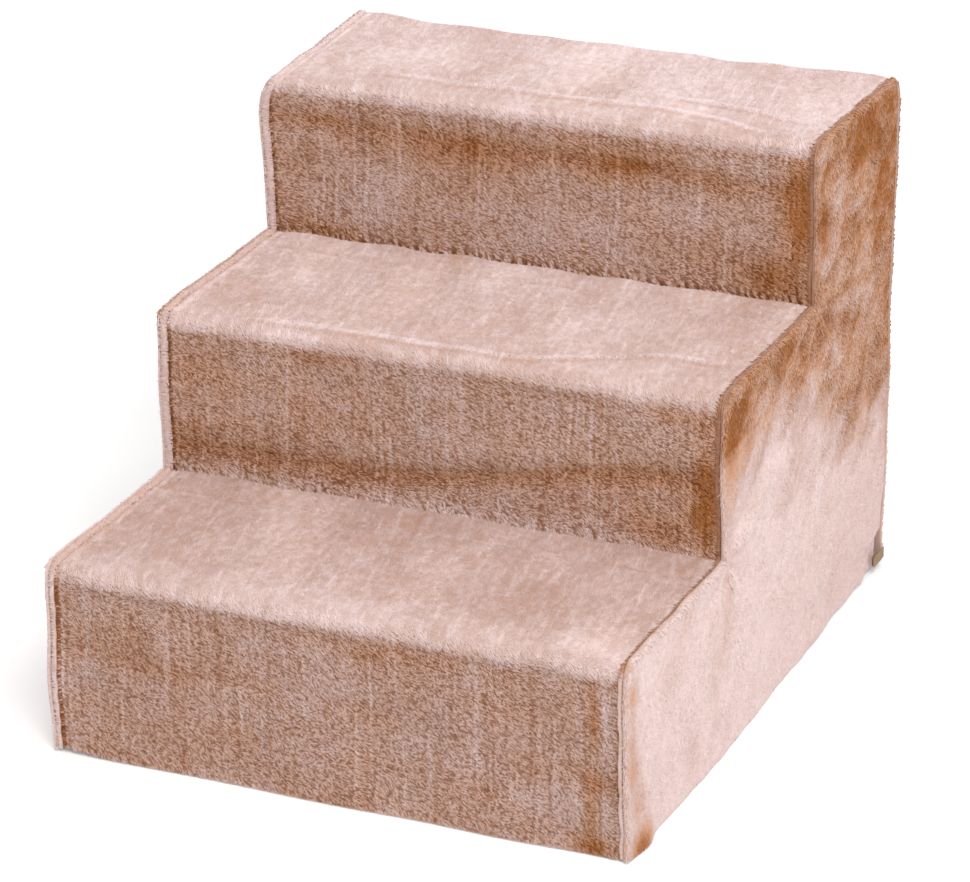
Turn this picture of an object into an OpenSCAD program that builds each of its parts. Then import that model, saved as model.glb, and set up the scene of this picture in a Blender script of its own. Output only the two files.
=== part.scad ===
// Three-step pet stairs: a plush slip cover over a frame of moulded treads that plug onto tubes.
// The origin is the middle of the base, on the floor. X runs across the steps, Y to the back, Z up.

/* [Stairs] */
// Width over the cover
stairs_w = 408; // [360:2:460]
// Height of the first tread over the floor
first_rise = 136; // [120:1:160]
// Height from each tread to the next
step_rise = 113; // [95:1:130]
// Distance from each nose to the next
step_going = 164; // [158:1:190]
// Depth of the top tread over the cover
tread_d = 148; // [140:1:156]

/* [Cover] */
// Thickness of the plush cloth, pile included
cloth_t = 5; // [4:0.5:6]
// Rounding of the cover at each nose
nose_r = 12; // [8:0.5:14]
// Depth of the deepest fold or sag
fold_depth = 4; // [2:0.5:4.5]
// Room for folds between the cover and the treads
fold_room = 5; // [5:0.5:7]
// Height of the hem over the floor at its lowest
hem_gap = 1; // [0.6:0.1:3]
// How much higher the hem hangs at the corners
hem_lift = 4; // [1:0.5:8]
// Width of the welt sewn between band and side panel
welt_w = 3.5; // [2.5:0.5:5]
// How far the tread cloth dips in front of a riser
strip_dip = 1.5; // [0.5:0.5:3]

/* [Closing tabs] */
// Thickness of the tab at each rear bottom corner
tab_t = 1.6; // [1.2:0.2:2]
// Height of the tab
tab_h = 8; // [6:1:14]
// Length of the tab
tab_len = 20; // [16:1:28]
// Height of the tab over the floor
tab_z = 7; // [6:1:14]
// Thickness of the hook patch under the tab
patch_t = 1; // [0.8:0.1:1.4]
// How far the slit in the rear seam runs up past the tab
slit_rise = 13; // [8:1:24]
// Width of the slit at the hem
slit_w = 6; // [4:0.5:9]

/* [Tread trays] */
// Thickness of the top plate
plate_t = 2.5; // [2:0.1:4]
// Height of the rim
rim_h = 26; // [22:1:34]
// Thickness of the rim
rim_t = 2.4; // [1.8:0.1:3.5]
// Rounding of the tray corners, seen from above
tray_corner_r = 14; // [10:1:18]
// Rounding of the top edge
tray_edge_r = 5; // [3:0.5:8]
// Thickness of the ribs
rib_t = 1.8; // [1.2:0.1:2.5]
// Ribs across each tray
cross_ribs = 11; // [9:1:14]
// Ribs along each tray
long_ribs = 3; // [3:1:5]

/* [Legs and sockets] */
// Outer diameter of the leg tubes
leg_od = 22; // [18:0.5:24]
// Wall of the leg tubes
leg_wall = 1.8; // [1.2:0.1:3]
// Wall of the sockets round the legs
socket_wall = 3; // [2:0.1:4]
// Distance from the rim of a tray to its sockets
socket_inset = 4; // [3:0.5:8]
// Radial clearance of each plugged tube
plug_clearance = 0.2; // [0.15:0.05:0.3]

/* [Base] */
// Width of the base rails
rail_w = 30; // [29.5:0.5:34]
// Height of the base rails
rail_h = 28; // [25:1:36]
// Wall of the base rails
rail_wall = 2.5; // [2:0.1:4]
// Floor under each leg in a base rail
socket_floor = 5; // [4:0.5:8]
// Outer diameter of the cross tubes
cross_od = 16; // [12:0.5:18]
// Wall of the cross tubes
cross_wall = 1.5; // [1:0.1:2.5]
// How far a cross tube plugs into a rail
cross_plug = 18; // [12:1:22]

/* [Leg ties] */
// Height of a leg tie
tie_h = 16; // [12:1:22]
// Thickness of the web of a leg tie
tie_web_t = 3; // [2:0.5:5]
// Width of the flanges of a leg tie
tie_flange_w = 12; // [8:1:16]
// Thickness of the flanges of a leg tie
tie_flange_t = 2.5; // [2:0.5:4]

/* [Feet] */
// Diameter of the rubber feet
foot_od = 20; // [14:1:24]
// Thickness of the rubber feet
foot_t = 4; // [3:0.5:6]
// How deep the feet sit in the rails
foot_seat = 1; // [0.5:0.1:2]
// Bevel round the underside of the feet
foot_bevel = 0.8; // [0.4:0.1:1.5]

/* [Hidden] */
$fn = 64;

plush_colour = [0.86, 0.72, 0.67];
welt_colour = [0.90, 0.79, 0.74];
tape_colour = [0.72, 0.60, 0.47];
tray_colour = [0.83, 0.80, 0.75];
tube_colour = [0.93, 0.92, 0.90];
rail_colour = [0.74, 0.71, 0.66];
rubber_colour = [0.20, 0.20, 0.21];

steps = 3;
left = -1;
right = 1;
// Gap between sewn pieces, and between the cover and the frame
seam_gap = 0.3;
// How far a cutting shape runs past what it cuts
overrun = 1;

depth = (steps - 1) * step_going + tread_d;
function nose_y(n) = -depth / 2 + (n - 1) * step_going;
function tread_z(n) = first_rise + (n - 1) * step_rise;
function mix(a, b, share) = a + (b - a) * share;
function clamp_share(x) = min(1, max(0, x));
function smooth(x) = let (s = clamp_share(x)) s * s * (3 - 2 * s);

// Frame places, all worked out from the cover inwards
tray_w = stairs_w - 2 * (cloth_t + fold_room);
tray_d = tread_d - 2 * (cloth_t + fold_room);
socket_r = leg_od / 2 + plug_clearance;
socket_od = 2 * (socket_r + socket_wall);
leg_x = tray_w / 2 - socket_inset - socket_od / 2;
leg_edge = cloth_t + fold_room + socket_inset + socket_od / 2;
function tray_top(n) = tread_z(n) - cloth_t - seam_gap;
function leg_y(n, is_back) = nose_y(n) + (is_back ? tread_d - leg_edge : leg_edge);
rail_z = foot_t - foot_seat;
leg_bottom = rail_z + socket_floor;

// Cover places, all worked out from the outside inwards
side_in = stairs_w / 2 - cloth_t;
welt_x = side_in - seam_gap - welt_w;
band_half = welt_x - seam_gap;
back_in = depth / 2 - cloth_t;
tab_recess = 3 * seam_gap + patch_t + tab_t;
tab_x = stairs_w / 2 - seam_gap - tab_t / 2;
tab_y = back_in - 2 * seam_gap - tab_t / 2;
tab_top = tab_z + tab_h;
slit_top = tab_top + slit_rise;
// Where a side panel starts to sink in under its tab, and where it is fully sunk
sink_start = tab_y - 1.8 * tab_len;
sink_end = tab_y - 1.2 * tab_len;

// Tread trays

// A rounded rectangle in the middle of the sheet
module rounded_outline(w, d, r) {
    square([w - 2 * r, d], center = true);
    square([w, d - 2 * r], center = true);
    for (sx = [-1, 1], sy = [-1, 1])
        translate([sx * (w / 2 - r), sy * (d / 2 - r)]) circle(r);
}

// A block with rounded corners whose top edge is rounded all the way round
module soft_block(w, d, h, corner_r, edge_r) {
    linear_extrude(h - edge_r) rounded_outline(w, d, corner_r);
    linear_extrude(h) rounded_outline(w - 2 * edge_r, d - 2 * edge_r, corner_r - edge_r);
    for (s = [-1, 1]) {
        translate([0, s * (d / 2 - edge_r), h - edge_r])
            rotate([0, 90, 0]) cylinder(r = edge_r, h = w - 2 * corner_r, center = true);
        translate([s * (w / 2 - edge_r), 0, h - edge_r])
            rotate([90, 0, 0]) cylinder(r = edge_r, h = d - 2 * corner_r, center = true);
    }
    for (sx = [-1, 1], sy = [-1, 1])
        translate([sx * (w / 2 - corner_r), sy * (d / 2 - corner_r), h - edge_r])
            rotate([0, 0, sx > 0 ? (sy > 0 ? 0 : 270) : (sy > 0 ? 90 : 180)])
                rotate_extrude(angle = 90)
                    translate([corner_r - edge_r, 0]) intersection() {
                        circle(edge_r);
                        translate([0, -edge_r]) square([edge_r, 2 * edge_r]);
                    }
}

// The lattice under the top plate, as deep as the rim
module tray_ribs() {
    inner_w = tray_w - rim_t;
    inner_d = tray_d - rim_t;
    linear_extrude(rim_h - plate_t / 2) {
        for (i = [1 : cross_ribs])
            translate([inner_w * (i / (cross_ribs + 1) - 0.5), 0])
                square([rib_t, inner_d], center = true);
        for (i = [1 : long_ribs])
            translate([0, inner_d * (i / (long_ribs + 1) - 0.5)])
                square([inner_w, rib_t], center = true);
    }
}

// Calls its children at the four leg places of a tray
module at_tray_legs() {
    for (sx = [-1, 1], sy = [-1, 1])
        translate([sx * leg_x, sy * (tread_d / 2 - leg_edge), 0]) children();
}

// One moulded tray: a rounded pan turned upside down, with ribs and four leg sockets
module tread_tray(n) {
    color(tray_colour)
        translate([0, nose_y(n) + tread_d / 2, tray_top(n) - rim_h])
            difference() {
                union() {
                    difference() {
                        soft_block(tray_w, tray_d, rim_h, tray_corner_r, tray_edge_r);
                        translate([0, 0, -plate_t])
                            soft_block(
                                tray_w - 2 * rim_t, tray_d - 2 * rim_t, rim_h,
                                tray_corner_r - rim_t, tray_edge_r - rim_t
                            );
                    }
                    tray_ribs();
                    at_tray_legs() cylinder(d = socket_od, h = rim_h - plate_t / 2);
                }
                at_tray_legs()
                    translate([0, 0, -overrun]) cylinder(r = socket_r, h = rim_h - plate_t + overrun);
            }
}

// Tubes

// A tube standing on its end
module tube(od, wall, h) {
    difference() {
        cylinder(d = od, h = h);
        translate([0, 0, -overrun]) cylinder(d = od - 2 * wall, h = h + 2 * overrun);
    }
}

// A leg from the floor of its rail socket to the plate of its tray
module leg(n, is_back, side) {
    color(tube_colour)
        translate([side * leg_x, leg_y(n, is_back), leg_bottom])
            tube(leg_od, leg_wall, tray_top(n) - plate_t - leg_bottom);
}

// A cross tube that holds the two rails apart under step n
module cross_tube(n) {
    length = 2 * (leg_x - rail_w / 2 + cross_plug);
    color(tube_colour)
        translate([-length / 2, nose_y(n) + tread_d / 2, rail_z + rail_h / 2])
            rotate([0, 90, 0]) tube(cross_od, cross_wall, length);
}

// Base rails

// Calls its children at each leg place along a rail
module at_rail_legs() {
    for (n = [1 : steps], is_back = [false, true])
        translate([0, leg_y(n, is_back), 0]) children();
}

// Calls its children at each cross tube, turned so that up points into the rail
module at_rail_plugs() {
    for (n = [1 : steps])
        translate([-rail_w / 2, nose_y(n) + tread_d / 2, rail_h / 2])
            rotate([0, 90, 0]) children();
}

// Calls its children midway between the back leg of each step and the front leg of the next
module at_rail_ribs() {
    for (n = [1 : steps - 1])
        translate([0, mix(leg_y(n, true), leg_y(n + 1, false), 0.5), 0]) children();
}

// The plan of a rail, drawn in by a wall
module rail_outline(wall) {
    front = nose_y(1) + cloth_t + fold_room;
    run = depth - 2 * (cloth_t + fold_room) - rail_w;
    translate([0, front + rail_w / 2 + run / 2]) square([rail_w - 2 * wall, run], center = true);
    for (end = [0, 1])
        translate([0, front + rail_w / 2 + end * run]) circle(d = rail_w - 2 * wall);
}

// A moulded channel, open below, with six leg sockets, a boss for each cross tube and ribs between
module base_rail(side) {
    plug_r = cross_od / 2 + plug_clearance;
    rib = [rail_w - rail_wall, rail_wall, rail_h - rail_wall / 2];
    color(rail_colour)
        translate([side * leg_x, 0, rail_z]) on_side(side)
            difference() {
                union() {
                    difference() {
                        linear_extrude(rail_h) rail_outline(0);
                        translate([0, 0, -overrun])
                            linear_extrude(rail_h - rail_wall + overrun) rail_outline(rail_wall);
                    }
                    at_rail_legs() cylinder(d = socket_od, h = rail_h);
                    at_rail_ribs() translate([-rib[0] / 2, -rib[1] / 2, 0]) cube(rib);
                    at_rail_plugs() cylinder(r = plug_r + rail_wall, h = cross_plug + rail_wall);
                }
                at_rail_legs()
                    translate([0, 0, socket_floor]) cylinder(r = socket_r, h = rail_h);
                at_rail_legs()
                    translate([0, 0, -overrun])
                        cylinder(d = foot_od + 2 * plug_clearance, h = foot_seat + overrun);
                at_rail_plugs()
                    translate([0, 0, -overrun]) cylinder(r = plug_r, h = cross_plug + overrun);
            }
}

// The right-hand shape as drawn, or its mirror image for the left
module on_side(side) {
    if (side == right) children();
    else mirror([1, 0, 0]) children();
}

// A collar with two rings and an I-shaped bar, from a step's back leg to the next step's front leg
module leg_tie(n, side) {
    reach = leg_y(n + 1, false) - leg_y(n, true);
    ring_od = socket_od;
    height_share = 0.5;
    color(rail_colour)
        translate([side * leg_x, leg_y(n, true), height_share * tread_z(n)])
            difference() {
                union() {
                    for (y = [0, reach]) translate([0, y, 0]) cylinder(d = ring_od, h = tie_h);
                    translate([-tie_web_t / 2, 0, 0]) cube([tie_web_t, reach, tie_h]);
                    for (z = [0, tie_h - tie_flange_t])
                        translate([-tie_flange_w / 2, 0, z])
                            cube([tie_flange_w, reach, tie_flange_t]);
                }
                for (y = [0, reach])
                    translate([0, y, -overrun]) cylinder(r = socket_r, h = tie_h + 2 * overrun);
            }
}

// Rubber discs under every leg, seated in the rails
module rubber_feet() {
    color(rubber_colour)
        for (side = [left, right])
            translate([side * leg_x, 0, 0]) at_rail_legs() {
                cylinder(d1 = foot_od - 2 * foot_bevel, d2 = foot_od, h = foot_bevel);
                translate([0, 0, foot_bevel]) cylinder(d = foot_od, h = foot_t - foot_bevel);
            }
}

// Cover cloth

// How many cells each cloth is divided into
band_cells = 12;
riser_cells = 8;
nose_cells = 4;
tread_cells = 8;
side_cells = 6;
corner_cells = 2;
back_rows = 8;

// A closed skin between two faces of a cloth, each a grid of points of the same size.
// A cell is left out where keep says that it is beyond the cut edge.
module cloth_skin(outer, inner, keep = function(i, j) true) {
    rows = len(outer) - 1;
    places = len(outer[0]) - 1;
    back = (rows + 1) * (places + 1);
    at = function(i, j) i * (places + 1) + j;
    is_cloth = function(i, j) i >= 0 && j >= 0 && i < rows && j < places && keep(i, j);
    edge = function(p, q) [[p, q, q + back], [p, q + back, p + back]];
    polyhedron(
        points = [for (face = [outer, inner], row = face) each row],
        faces = [
            for (i = [0 : rows - 1], j = [0 : places - 1]) if (keep(i, j))
                let (a = at(i, j), b = at(i + 1, j), c = at(i + 1, j + 1), d = at(i, j + 1))
                each concat(
                    [[a, d, c], [a, c, b]],
                    [[a + back, c + back, d + back], [a + back, b + back, c + back]],
                    is_cloth(i - 1, j) ? [] : edge(d, a),
                    is_cloth(i, j - 1) ? [] : edge(a, b),
                    is_cloth(i + 1, j) ? [] : edge(b, c),
                    is_cloth(i, j + 1) ? [] : edge(c, d)
                )
        ]
    );
}

// Height of the hem at a share of the way along a panel, raised towards both corners
function hem_z(share) = hem_gap + hem_lift * pow(abs(2 * share - 1), 4);

// How far a riser sags inwards, for shares u across it and v up it
function riser_sag(n, u, v) =
    fold_depth * sqrt(sin(180 * u)) * sin(180 * v) * (0.8 + 0.2 * sin(360 * (u + v) + 120 * n));

// How far the top face of a tread is pressed in, for shares u across it and v back along it
function tread_press(n, u, v) =
    seam_gap * (1 + sin(360 * (2 * u + v) + 90 * n)) * sin(180 * u) * sin(180 * v);

// How far the tread cloth dips between the back of its tray and the next riser
function strip_sink(n, y) = n == steps ? 0 :
    let (start = nose_y(n) + tread_d - cloth_t - fold_room)
    strip_dip * sin(180 * clamp_share((y - start) / (nose_y(n + 1) - start)));

// A point of the band of step n: u is the share across, k counts up the riser, over the nose
// and back along the tread, and sunk is the distance below the outer face
function band_point(n, u, k, sunk) =
    let (
        x = mix(-band_half, band_half, u),
        foot = n == 1 ? hem_z(u) : tread_z(n - 1) + seam_gap,
        spring_z = tread_z(n) - nose_r,
        nose_k = k - riser_cells,
        tread_k = nose_k - nose_cells,
        turn = 90 * nose_k / nose_cells,
        end_y = n == steps ? back_in - seam_gap : nose_y(n + 1) + cloth_t,
        v = tread_k / tread_cells,
        y = mix(nose_y(n) + nose_r, end_y, v)
    )
    nose_k <= 0 ?
        [x, nose_y(n) + sunk + riser_sag(n, u, k / riser_cells), mix(foot, spring_z, k / riser_cells)] :
    tread_k < 0 ?
        [x, nose_y(n) + nose_r - (nose_r - sunk) * cos(turn), spring_z + (nose_r - sunk) * sin(turn)] :
        [x, y, tread_z(n) - sunk - strip_sink(n, y) - (sunk == 0 ? tread_press(n, u, v) : 0)];

// The cloth of one step, a riser and a tread in one piece, rounded over the nose
module cover_step(n) {
    rows = riser_cells + nose_cells + tread_cells;
    face = function(sunk) [
        for (i = [0 : band_cells]) [for (k = [0 : rows]) band_point(n, i / band_cells, k, sunk)]
    ];
    color(plush_colour) cloth_skin(face(0), face(cloth_t));
}

// Distance of a point of a side panel from its cut edge along the steps
function side_edge(y, z) =
    let (
        column = min([for (n = [1 : steps]) if (n == steps || y < nose_y(n + 1)) n]),
        row = min([for (n = [1 : steps]) if (n == steps || z < tread_z(n)) n]),
        corners = [
            for (n = [1 : steps - 1]) if (y >= nose_y(n + 1) && z <= tread_z(n))
                norm([y - nose_y(n + 1), z - tread_z(n)])
        ]
    )
    min(concat([tread_z(column) - z, y - nose_y(row)], corners));

// Depth of the folds of a side panel: a fan of folds hangs from each inner corner of the steps,
// and the hem waves along the floor
function side_fold(y, z, turn) =
    let (
        reach = 0.75 * first_rise,
        start = 0.12 * first_rise,
        fans = [
            for (n = [1 : steps - 1])
                let (
                    away = [y - nose_y(n + 1), z - tread_z(n)],
                    far = norm(away),
                    angle = atan2(-away[1], away[0])
                )
                exp(-pow(far / reach, 2)) * (1 - exp(-pow(far / start, 2))) * pow(sin(3 * angle + turn), 2)
        ],
        along = (y + depth / 2) / depth,
        hem = pow(clamp_share(1 - z / first_rise), 2) * pow(sin(360 * 1.3 * along + turn), 2)
    )
    fold_depth * smooth(side_edge(y, z) / (2 * nose_r)) * min(1, 0.9 * (fans[0] + fans[1]) + 0.7 * hem);

// How far a side panel is drawn in under the closing tab
function tab_sink(y, z) =
    tab_recess
    * smooth((y - sink_start) / (sink_end - sink_start))
    * smooth((slit_top - z) / (slit_top - tab_top));

// Moves a point of a square nose corner onto its round
function rounded_nose(y, z) =
    let (
        hits = [
            for (n = [1 : steps])
                let (s = (nose_y(n) + nose_r - y) / nose_r, t = (z - tread_z(n) + nose_r) / nose_r)
                if (s > 0 && s <= 1 && t > 0 && t <= 1)
                    [
                        nose_y(n) + nose_r - nose_r * s * sqrt(1 - t * t / 2),
                        tread_z(n) - nose_r + nose_r * t * sqrt(1 - s * s / 2)
                    ]
        ]
    )
    len(hits) > 0 ? hits[0] : [y, z];

// Grid lines of a side panel from the front to the back, and from the hem to the top
side_end = back_in - seam_gap;
side_ys = [
    for (n = [1 : steps])
        let (start = nose_y(n), end = n == steps ? sink_start : nose_y(n + 1))
        each concat(
            [for (i = [0 : corner_cells - 1]) start + nose_r * i / corner_cells],
            [for (i = [0 : side_cells - 1]) mix(start + nose_r, end, i / side_cells)]
        ),
    sink_start, sink_end, side_end
];
side_zs = [
    0, tab_top,
    for (n = [1 : steps])
        let (start = n == 1 ? slit_top : tread_z(n - 1), end = tread_z(n))
        each concat(
            [for (i = [0 : side_cells - 1]) mix(start, end - nose_r, i / side_cells)],
            [for (i = [0 : corner_cells - 1]) end - nose_r + nose_r * i / corner_cells]
        ),
    tread_z(steps)
];

// A point of the right side panel, sunk below its outer face
function side_point(y, z, sunk, turn) =
    let (
        place = rounded_nose(y, z),
        along = (y + depth / 2) / depth,
        low = hem_z(along) * clamp_share(1 - z / (first_rise - nose_r)),
        slit = slit_w * smooth(1 - z / slit_top) * clamp_share((y - side_end + tab_len) / tab_len),
        inwards = tab_sink(y, z)
    )
    [
        stairs_w / 2 - sunk - max(inwards, side_fold(y, z, turn) * (1 - inwards / tab_recess)),
        place[0] - slit,
        place[1] + low
    ];

// A side panel cut to the outline of the steps, with its folds. Turn shifts the folds.
module cover_side(side, turn) {
    face = function(sunk) [for (y = side_ys) [for (z = side_zs) side_point(y, z, sunk, turn)]];
    keep = function(i, j)
        let (y = (side_ys[i] + side_ys[i + 1]) / 2, z = (side_zs[j] + side_zs[j + 1]) / 2)
        len([for (n = [1 : steps]) if (y > nose_y(n) && z < tread_z(n)) n]) > 0;
    color(plush_colour) on_side(side) cloth_skin(face(0), face(cloth_t), keep);
}

// A point of the back panel: u is the share across from the right, k counts up from the hem
function back_point(u, k, sunk) =
    let (
        turn_k = k - back_rows,
        turn = 90 * turn_k / nose_cells,
        spring_z = tread_z(steps) - cloth_t,
        v = k / back_rows,
        sag = fold_depth * sin(180 * u) * sin(180 * v) * pow(sin(180 * (1.5 * u + 0.3 * v)), 2)
    )
    turn_k <= 0 ?
        [mix(stairs_w / 2, -stairs_w / 2, u), depth / 2 - sunk - sag, mix(hem_z(u), spring_z, v)] :
        [
            mix(stairs_w / 2, -stairs_w / 2, u),
            sunk > 0 ? back_in : back_in + cloth_t * cos(turn),
            spring_z + cloth_t * (sunk > 0 ? turn_k / nose_cells : sin(turn))
        ];

// The back panel, rounded over at the top edge where it meets the top tread
module cover_back() {
    face = function(sunk) [
        for (i = [0 : band_cells])
            [for (k = [0 : back_rows + nose_cells]) back_point(i / band_cells, k, sunk)]
    ];
    color(plush_colour) cloth_skin(face(0), face(cloth_t));
}

// The outline of the steps seen from the side, drawn in by an inset
module steps_outline(inset) {
    r = nose_r - inset;
    for (n = [1 : steps]) {
        front = nose_y(n) + inset;
        top = tread_z(n) - inset;
        translate([front, 0]) square([depth / 2 - front, top - r]);
        translate([front + r, 0]) square([depth / 2 - front - r, top]);
        translate([front + r, top - r]) circle(r);
    }
}

// The folded welt sewn between the step bands and a side panel, from the hem to the top edge
module seam_welt(side) {
    hem = hem_gap + hem_lift;
    color(welt_colour)
        on_side(side)
            translate([welt_x, 0, 0]) rotate([90, 0, 90]) linear_extrude(welt_w)
                difference() {
                    steps_outline(0);
                    steps_outline(cloth_t);
                    translate([-depth, -overrun]) square([2 * depth, hem + overrun]);
                    translate([side_end, 0]) square([depth, 2 * tread_z(steps)]);
                }
}

// A strip of tape lying in the plane of a side panel, with its free corners rounded
module tape(length, h, t) {
    r = h / 5;
    translate([-t / 2, 0, 0]) rotate([90, 0, 90]) linear_extrude(t) {
        translate([-length + r, 0]) square([length - r, h]);
        translate([-length, r]) square([length, h - 2 * r]);
        for (z = [r, h - r]) translate([-length + r, z]) circle(r);
    }
}

// The hook patch that a closing tab presses onto
module hook_patch(side) {
    start = tab_y - slit_w - 0.15 * tab_len;
    color(tape_colour)
        on_side(side)
            translate([stairs_w / 2 - tab_recess + seam_gap + patch_t / 2, start, tab_z])
                tape(0.5 * tab_len, tab_h, patch_t);
}

// The tab that closes the slit at a rear bottom corner. It turns about its round rear end.
module closing_tab(side) {
    color(tape_colour)
        on_side(side)
            translate([tab_x, tab_y, tab_z]) {
                tape(tab_len, tab_h, tab_t);
                cylinder(d = tab_t, h = tab_h);
            }
}

tread_tray(1);  // tread_tray_1
tread_tray(2);  // tread_tray_2
tread_tray(3);  // tread_tray_3
leg(1, false, left);  // leg_1_front_left
leg(1, false, right);  // leg_1_front_right
leg(1, true, left);  // leg_1_back_left
leg(1, true, right);  // leg_1_back_right
leg(2, false, left);  // leg_2_front_left
leg(2, false, right);  // leg_2_front_right
leg(2, true, left);  // leg_2_back_left
leg(2, true, right);  // leg_2_back_right
leg(3, false, left);  // leg_3_front_left
leg(3, false, right);  // leg_3_front_right
leg(3, true, left);  // leg_3_back_left
leg(3, true, right);  // leg_3_back_right
base_rail(left);  // base_rail_left
base_rail(right);  // base_rail_right
cross_tube(1);  // cross_tube_front
cross_tube(2);  // cross_tube_middle
cross_tube(3);  // cross_tube_rear
leg_tie(1, left);  // leg_tie_lower_left
leg_tie(1, right);  // leg_tie_lower_right
leg_tie(2, left);  // leg_tie_upper_left
leg_tie(2, right);  // leg_tie_upper_right
rubber_feet();
cover_step(1);  // cover_step_1
cover_step(2);  // cover_step_2
cover_step(3);  // cover_step_3
cover_side(left, 50);  // cover_side_left
cover_side(right, 0);  // cover_side_right
cover_back();
seam_welt(left);  // seam_welt_left
seam_welt(right);  // seam_welt_right
hook_patch(left);  // hook_patch_left
hook_patch(right);  // hook_patch_right
closing_tab(left);  // closing_tab_left
closing_tab(right);  // closing_tab_right
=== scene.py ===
import bpy
import numpy as np
from mathutils import Matrix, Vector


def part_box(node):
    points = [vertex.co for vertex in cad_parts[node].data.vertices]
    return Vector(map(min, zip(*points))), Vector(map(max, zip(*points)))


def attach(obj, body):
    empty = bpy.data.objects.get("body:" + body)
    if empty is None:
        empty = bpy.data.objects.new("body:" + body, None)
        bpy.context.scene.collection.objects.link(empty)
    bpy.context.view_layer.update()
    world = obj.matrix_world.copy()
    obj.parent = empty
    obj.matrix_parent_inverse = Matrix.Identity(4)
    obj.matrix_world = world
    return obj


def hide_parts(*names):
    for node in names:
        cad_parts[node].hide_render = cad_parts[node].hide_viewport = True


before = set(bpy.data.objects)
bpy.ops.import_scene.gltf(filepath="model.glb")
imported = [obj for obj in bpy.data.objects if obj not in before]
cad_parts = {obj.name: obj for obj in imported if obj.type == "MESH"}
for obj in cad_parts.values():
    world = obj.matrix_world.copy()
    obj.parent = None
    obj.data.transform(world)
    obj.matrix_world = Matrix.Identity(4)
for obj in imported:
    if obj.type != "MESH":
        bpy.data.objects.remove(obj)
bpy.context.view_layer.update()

MM = 0.001

# Tread trays: three injection mouldings in unfilled polypropylene, each a pan turned upside down
# with a lattice of ribs and four leg sockets below. The mould leaves a fine sparked grain on them.


def linear(hexed):
    """The linear colour of an sRGB one that is written as RRGGBB."""
    share = np.array([int(hexed[i:i + 2], 16) for i in (0, 2, 4)]) / 255
    low = share / 12.92
    high = ((share + 0.055) / 1.055) ** 2.4
    return (*np.where(share > 0.04045, high, low), 1.0)


def node_adder(tree):
    """Empties a node tree, and gives the function that adds a node to it with socket values."""
    tree.nodes.clear()

    def add(kind, inputs=None, **settings):
        node = tree.nodes.new(kind)
        for key, value in settings.items():
            setattr(node, key, value)
        for key, value in (inputs or {}).items():
            if isinstance(value, bpy.types.NodeSocket):
                tree.links.new(value, node.inputs[key])
            else:
                node.inputs[key].default_value = value
        return node

    return add


def new_material(name):
    """A material, and the function that adds nodes to it."""
    made = bpy.data.materials.new(name)
    made.use_nodes = True
    return made, node_adder(made.node_tree)


def surface(add, colour, roughness, height, depth, strength, more):
    """The end of a material: a shader with that colour and roughness over a fine relief, and more
    of its sockets set to constants."""
    relief = add("ShaderNodeBump", {"Height": height, "Distance": depth, "Strength": strength})
    shader = add("ShaderNodeBsdfPrincipled", {
        "Base Color": colour, "Roughness": roughness, "Normal": relief.outputs["Normal"], **more})
    add("ShaderNodeOutputMaterial", {"Surface": shader.outputs[0]})


def moulded_plastic(name, shade, scuffed, roughness, grain, depth):
    """Plastic with a fine grain of that size and depth in metres, clouded a little between two
    shades, and a roughness that wanders with the clouds."""
    made, add = new_material(name)
    place = add("ShaderNodeTexCoord").outputs["Object"]
    clouds = add("ShaderNodeTexNoise", {"Vector": place, "Scale": 14.0, "Detail": 3.0})
    tint = add("ShaderNodeMix", {0: clouds.outputs["Fac"], 6: linear(shade), 7: linear(scuffed)},
               data_type="RGBA")
    dull = add("ShaderNodeMapRange", {"Value": clouds.outputs["Fac"],
                                      "To Min": roughness - 0.06, "To Max": roughness + 0.06})
    speckle = add("ShaderNodeTexNoise", {"Vector": place, "Scale": 1 / grain, "Detail": 2.0})
    surface(add, tint.outputs[2], dull.outputs[0], speckle.outputs["Fac"], depth, 0.6,
            {"IOR": 1.49, "Specular IOR Level": 0.5})
    return made


def finish_nodes(names, finish):
    """Gives the nodes of the frame a finish, in the slots that they came with."""
    for name in names:
        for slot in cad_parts[name].material_slots:
            slot.material = finish


STEPS = (1, 2, 3)
SIDES = {"left": -1, "right": 1}
finish_nodes([f"tread_tray_{n}" for n in STEPS],
             moulded_plastic("tray_plastic", "D8D2C6", "CCC5B8", 0.52, 0.8 * MM, 0.05 * MM))

# Legs and cross tubes: smooth extruded tube, cut to length. Each leg plugs into a socket of its
# tray and of a base rail, and each cross tube into a boss of both rails.
TUBES = [f"leg_{n}_{end}_{side}" for n in STEPS for end in ("front", "back") for side in SIDES]
TUBES += [f"cross_tube_{place}" for place in ("front", "middle", "rear")]
finish_nodes(TUBES, moulded_plastic("tube_plastic", "EEEBE5", "E4E0D8", 0.30, 2.5 * MM, 0.02 * MM))

# Base rails and leg ties: two long moulded channels that carry all the legs, and four collars
# that tie a step's back leg to the next step's front leg. They are moulded in a duller plastic.
RAILS = [f"base_rail_{side}" for side in SIDES]
RAILS += [f"leg_tie_{row}_{side}" for row in ("lower", "upper") for side in SIDES]
finish_nodes(RAILS, moulded_plastic("rail_plastic", "BDB5A8", "AFA799", 0.58, 0.9 * MM, 0.06 * MM))

# Rubber feet: twelve discs of black rubber, pressed into the undersides of the rails below the
# legs. They keep the stairs from sliding on a smooth floor.
finish_nodes(["rubber_feet"],
             moulded_plastic("foot_rubber", "333335", "3D3C3B", 0.80, 0.5 * MM, 0.08 * MM))

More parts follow.
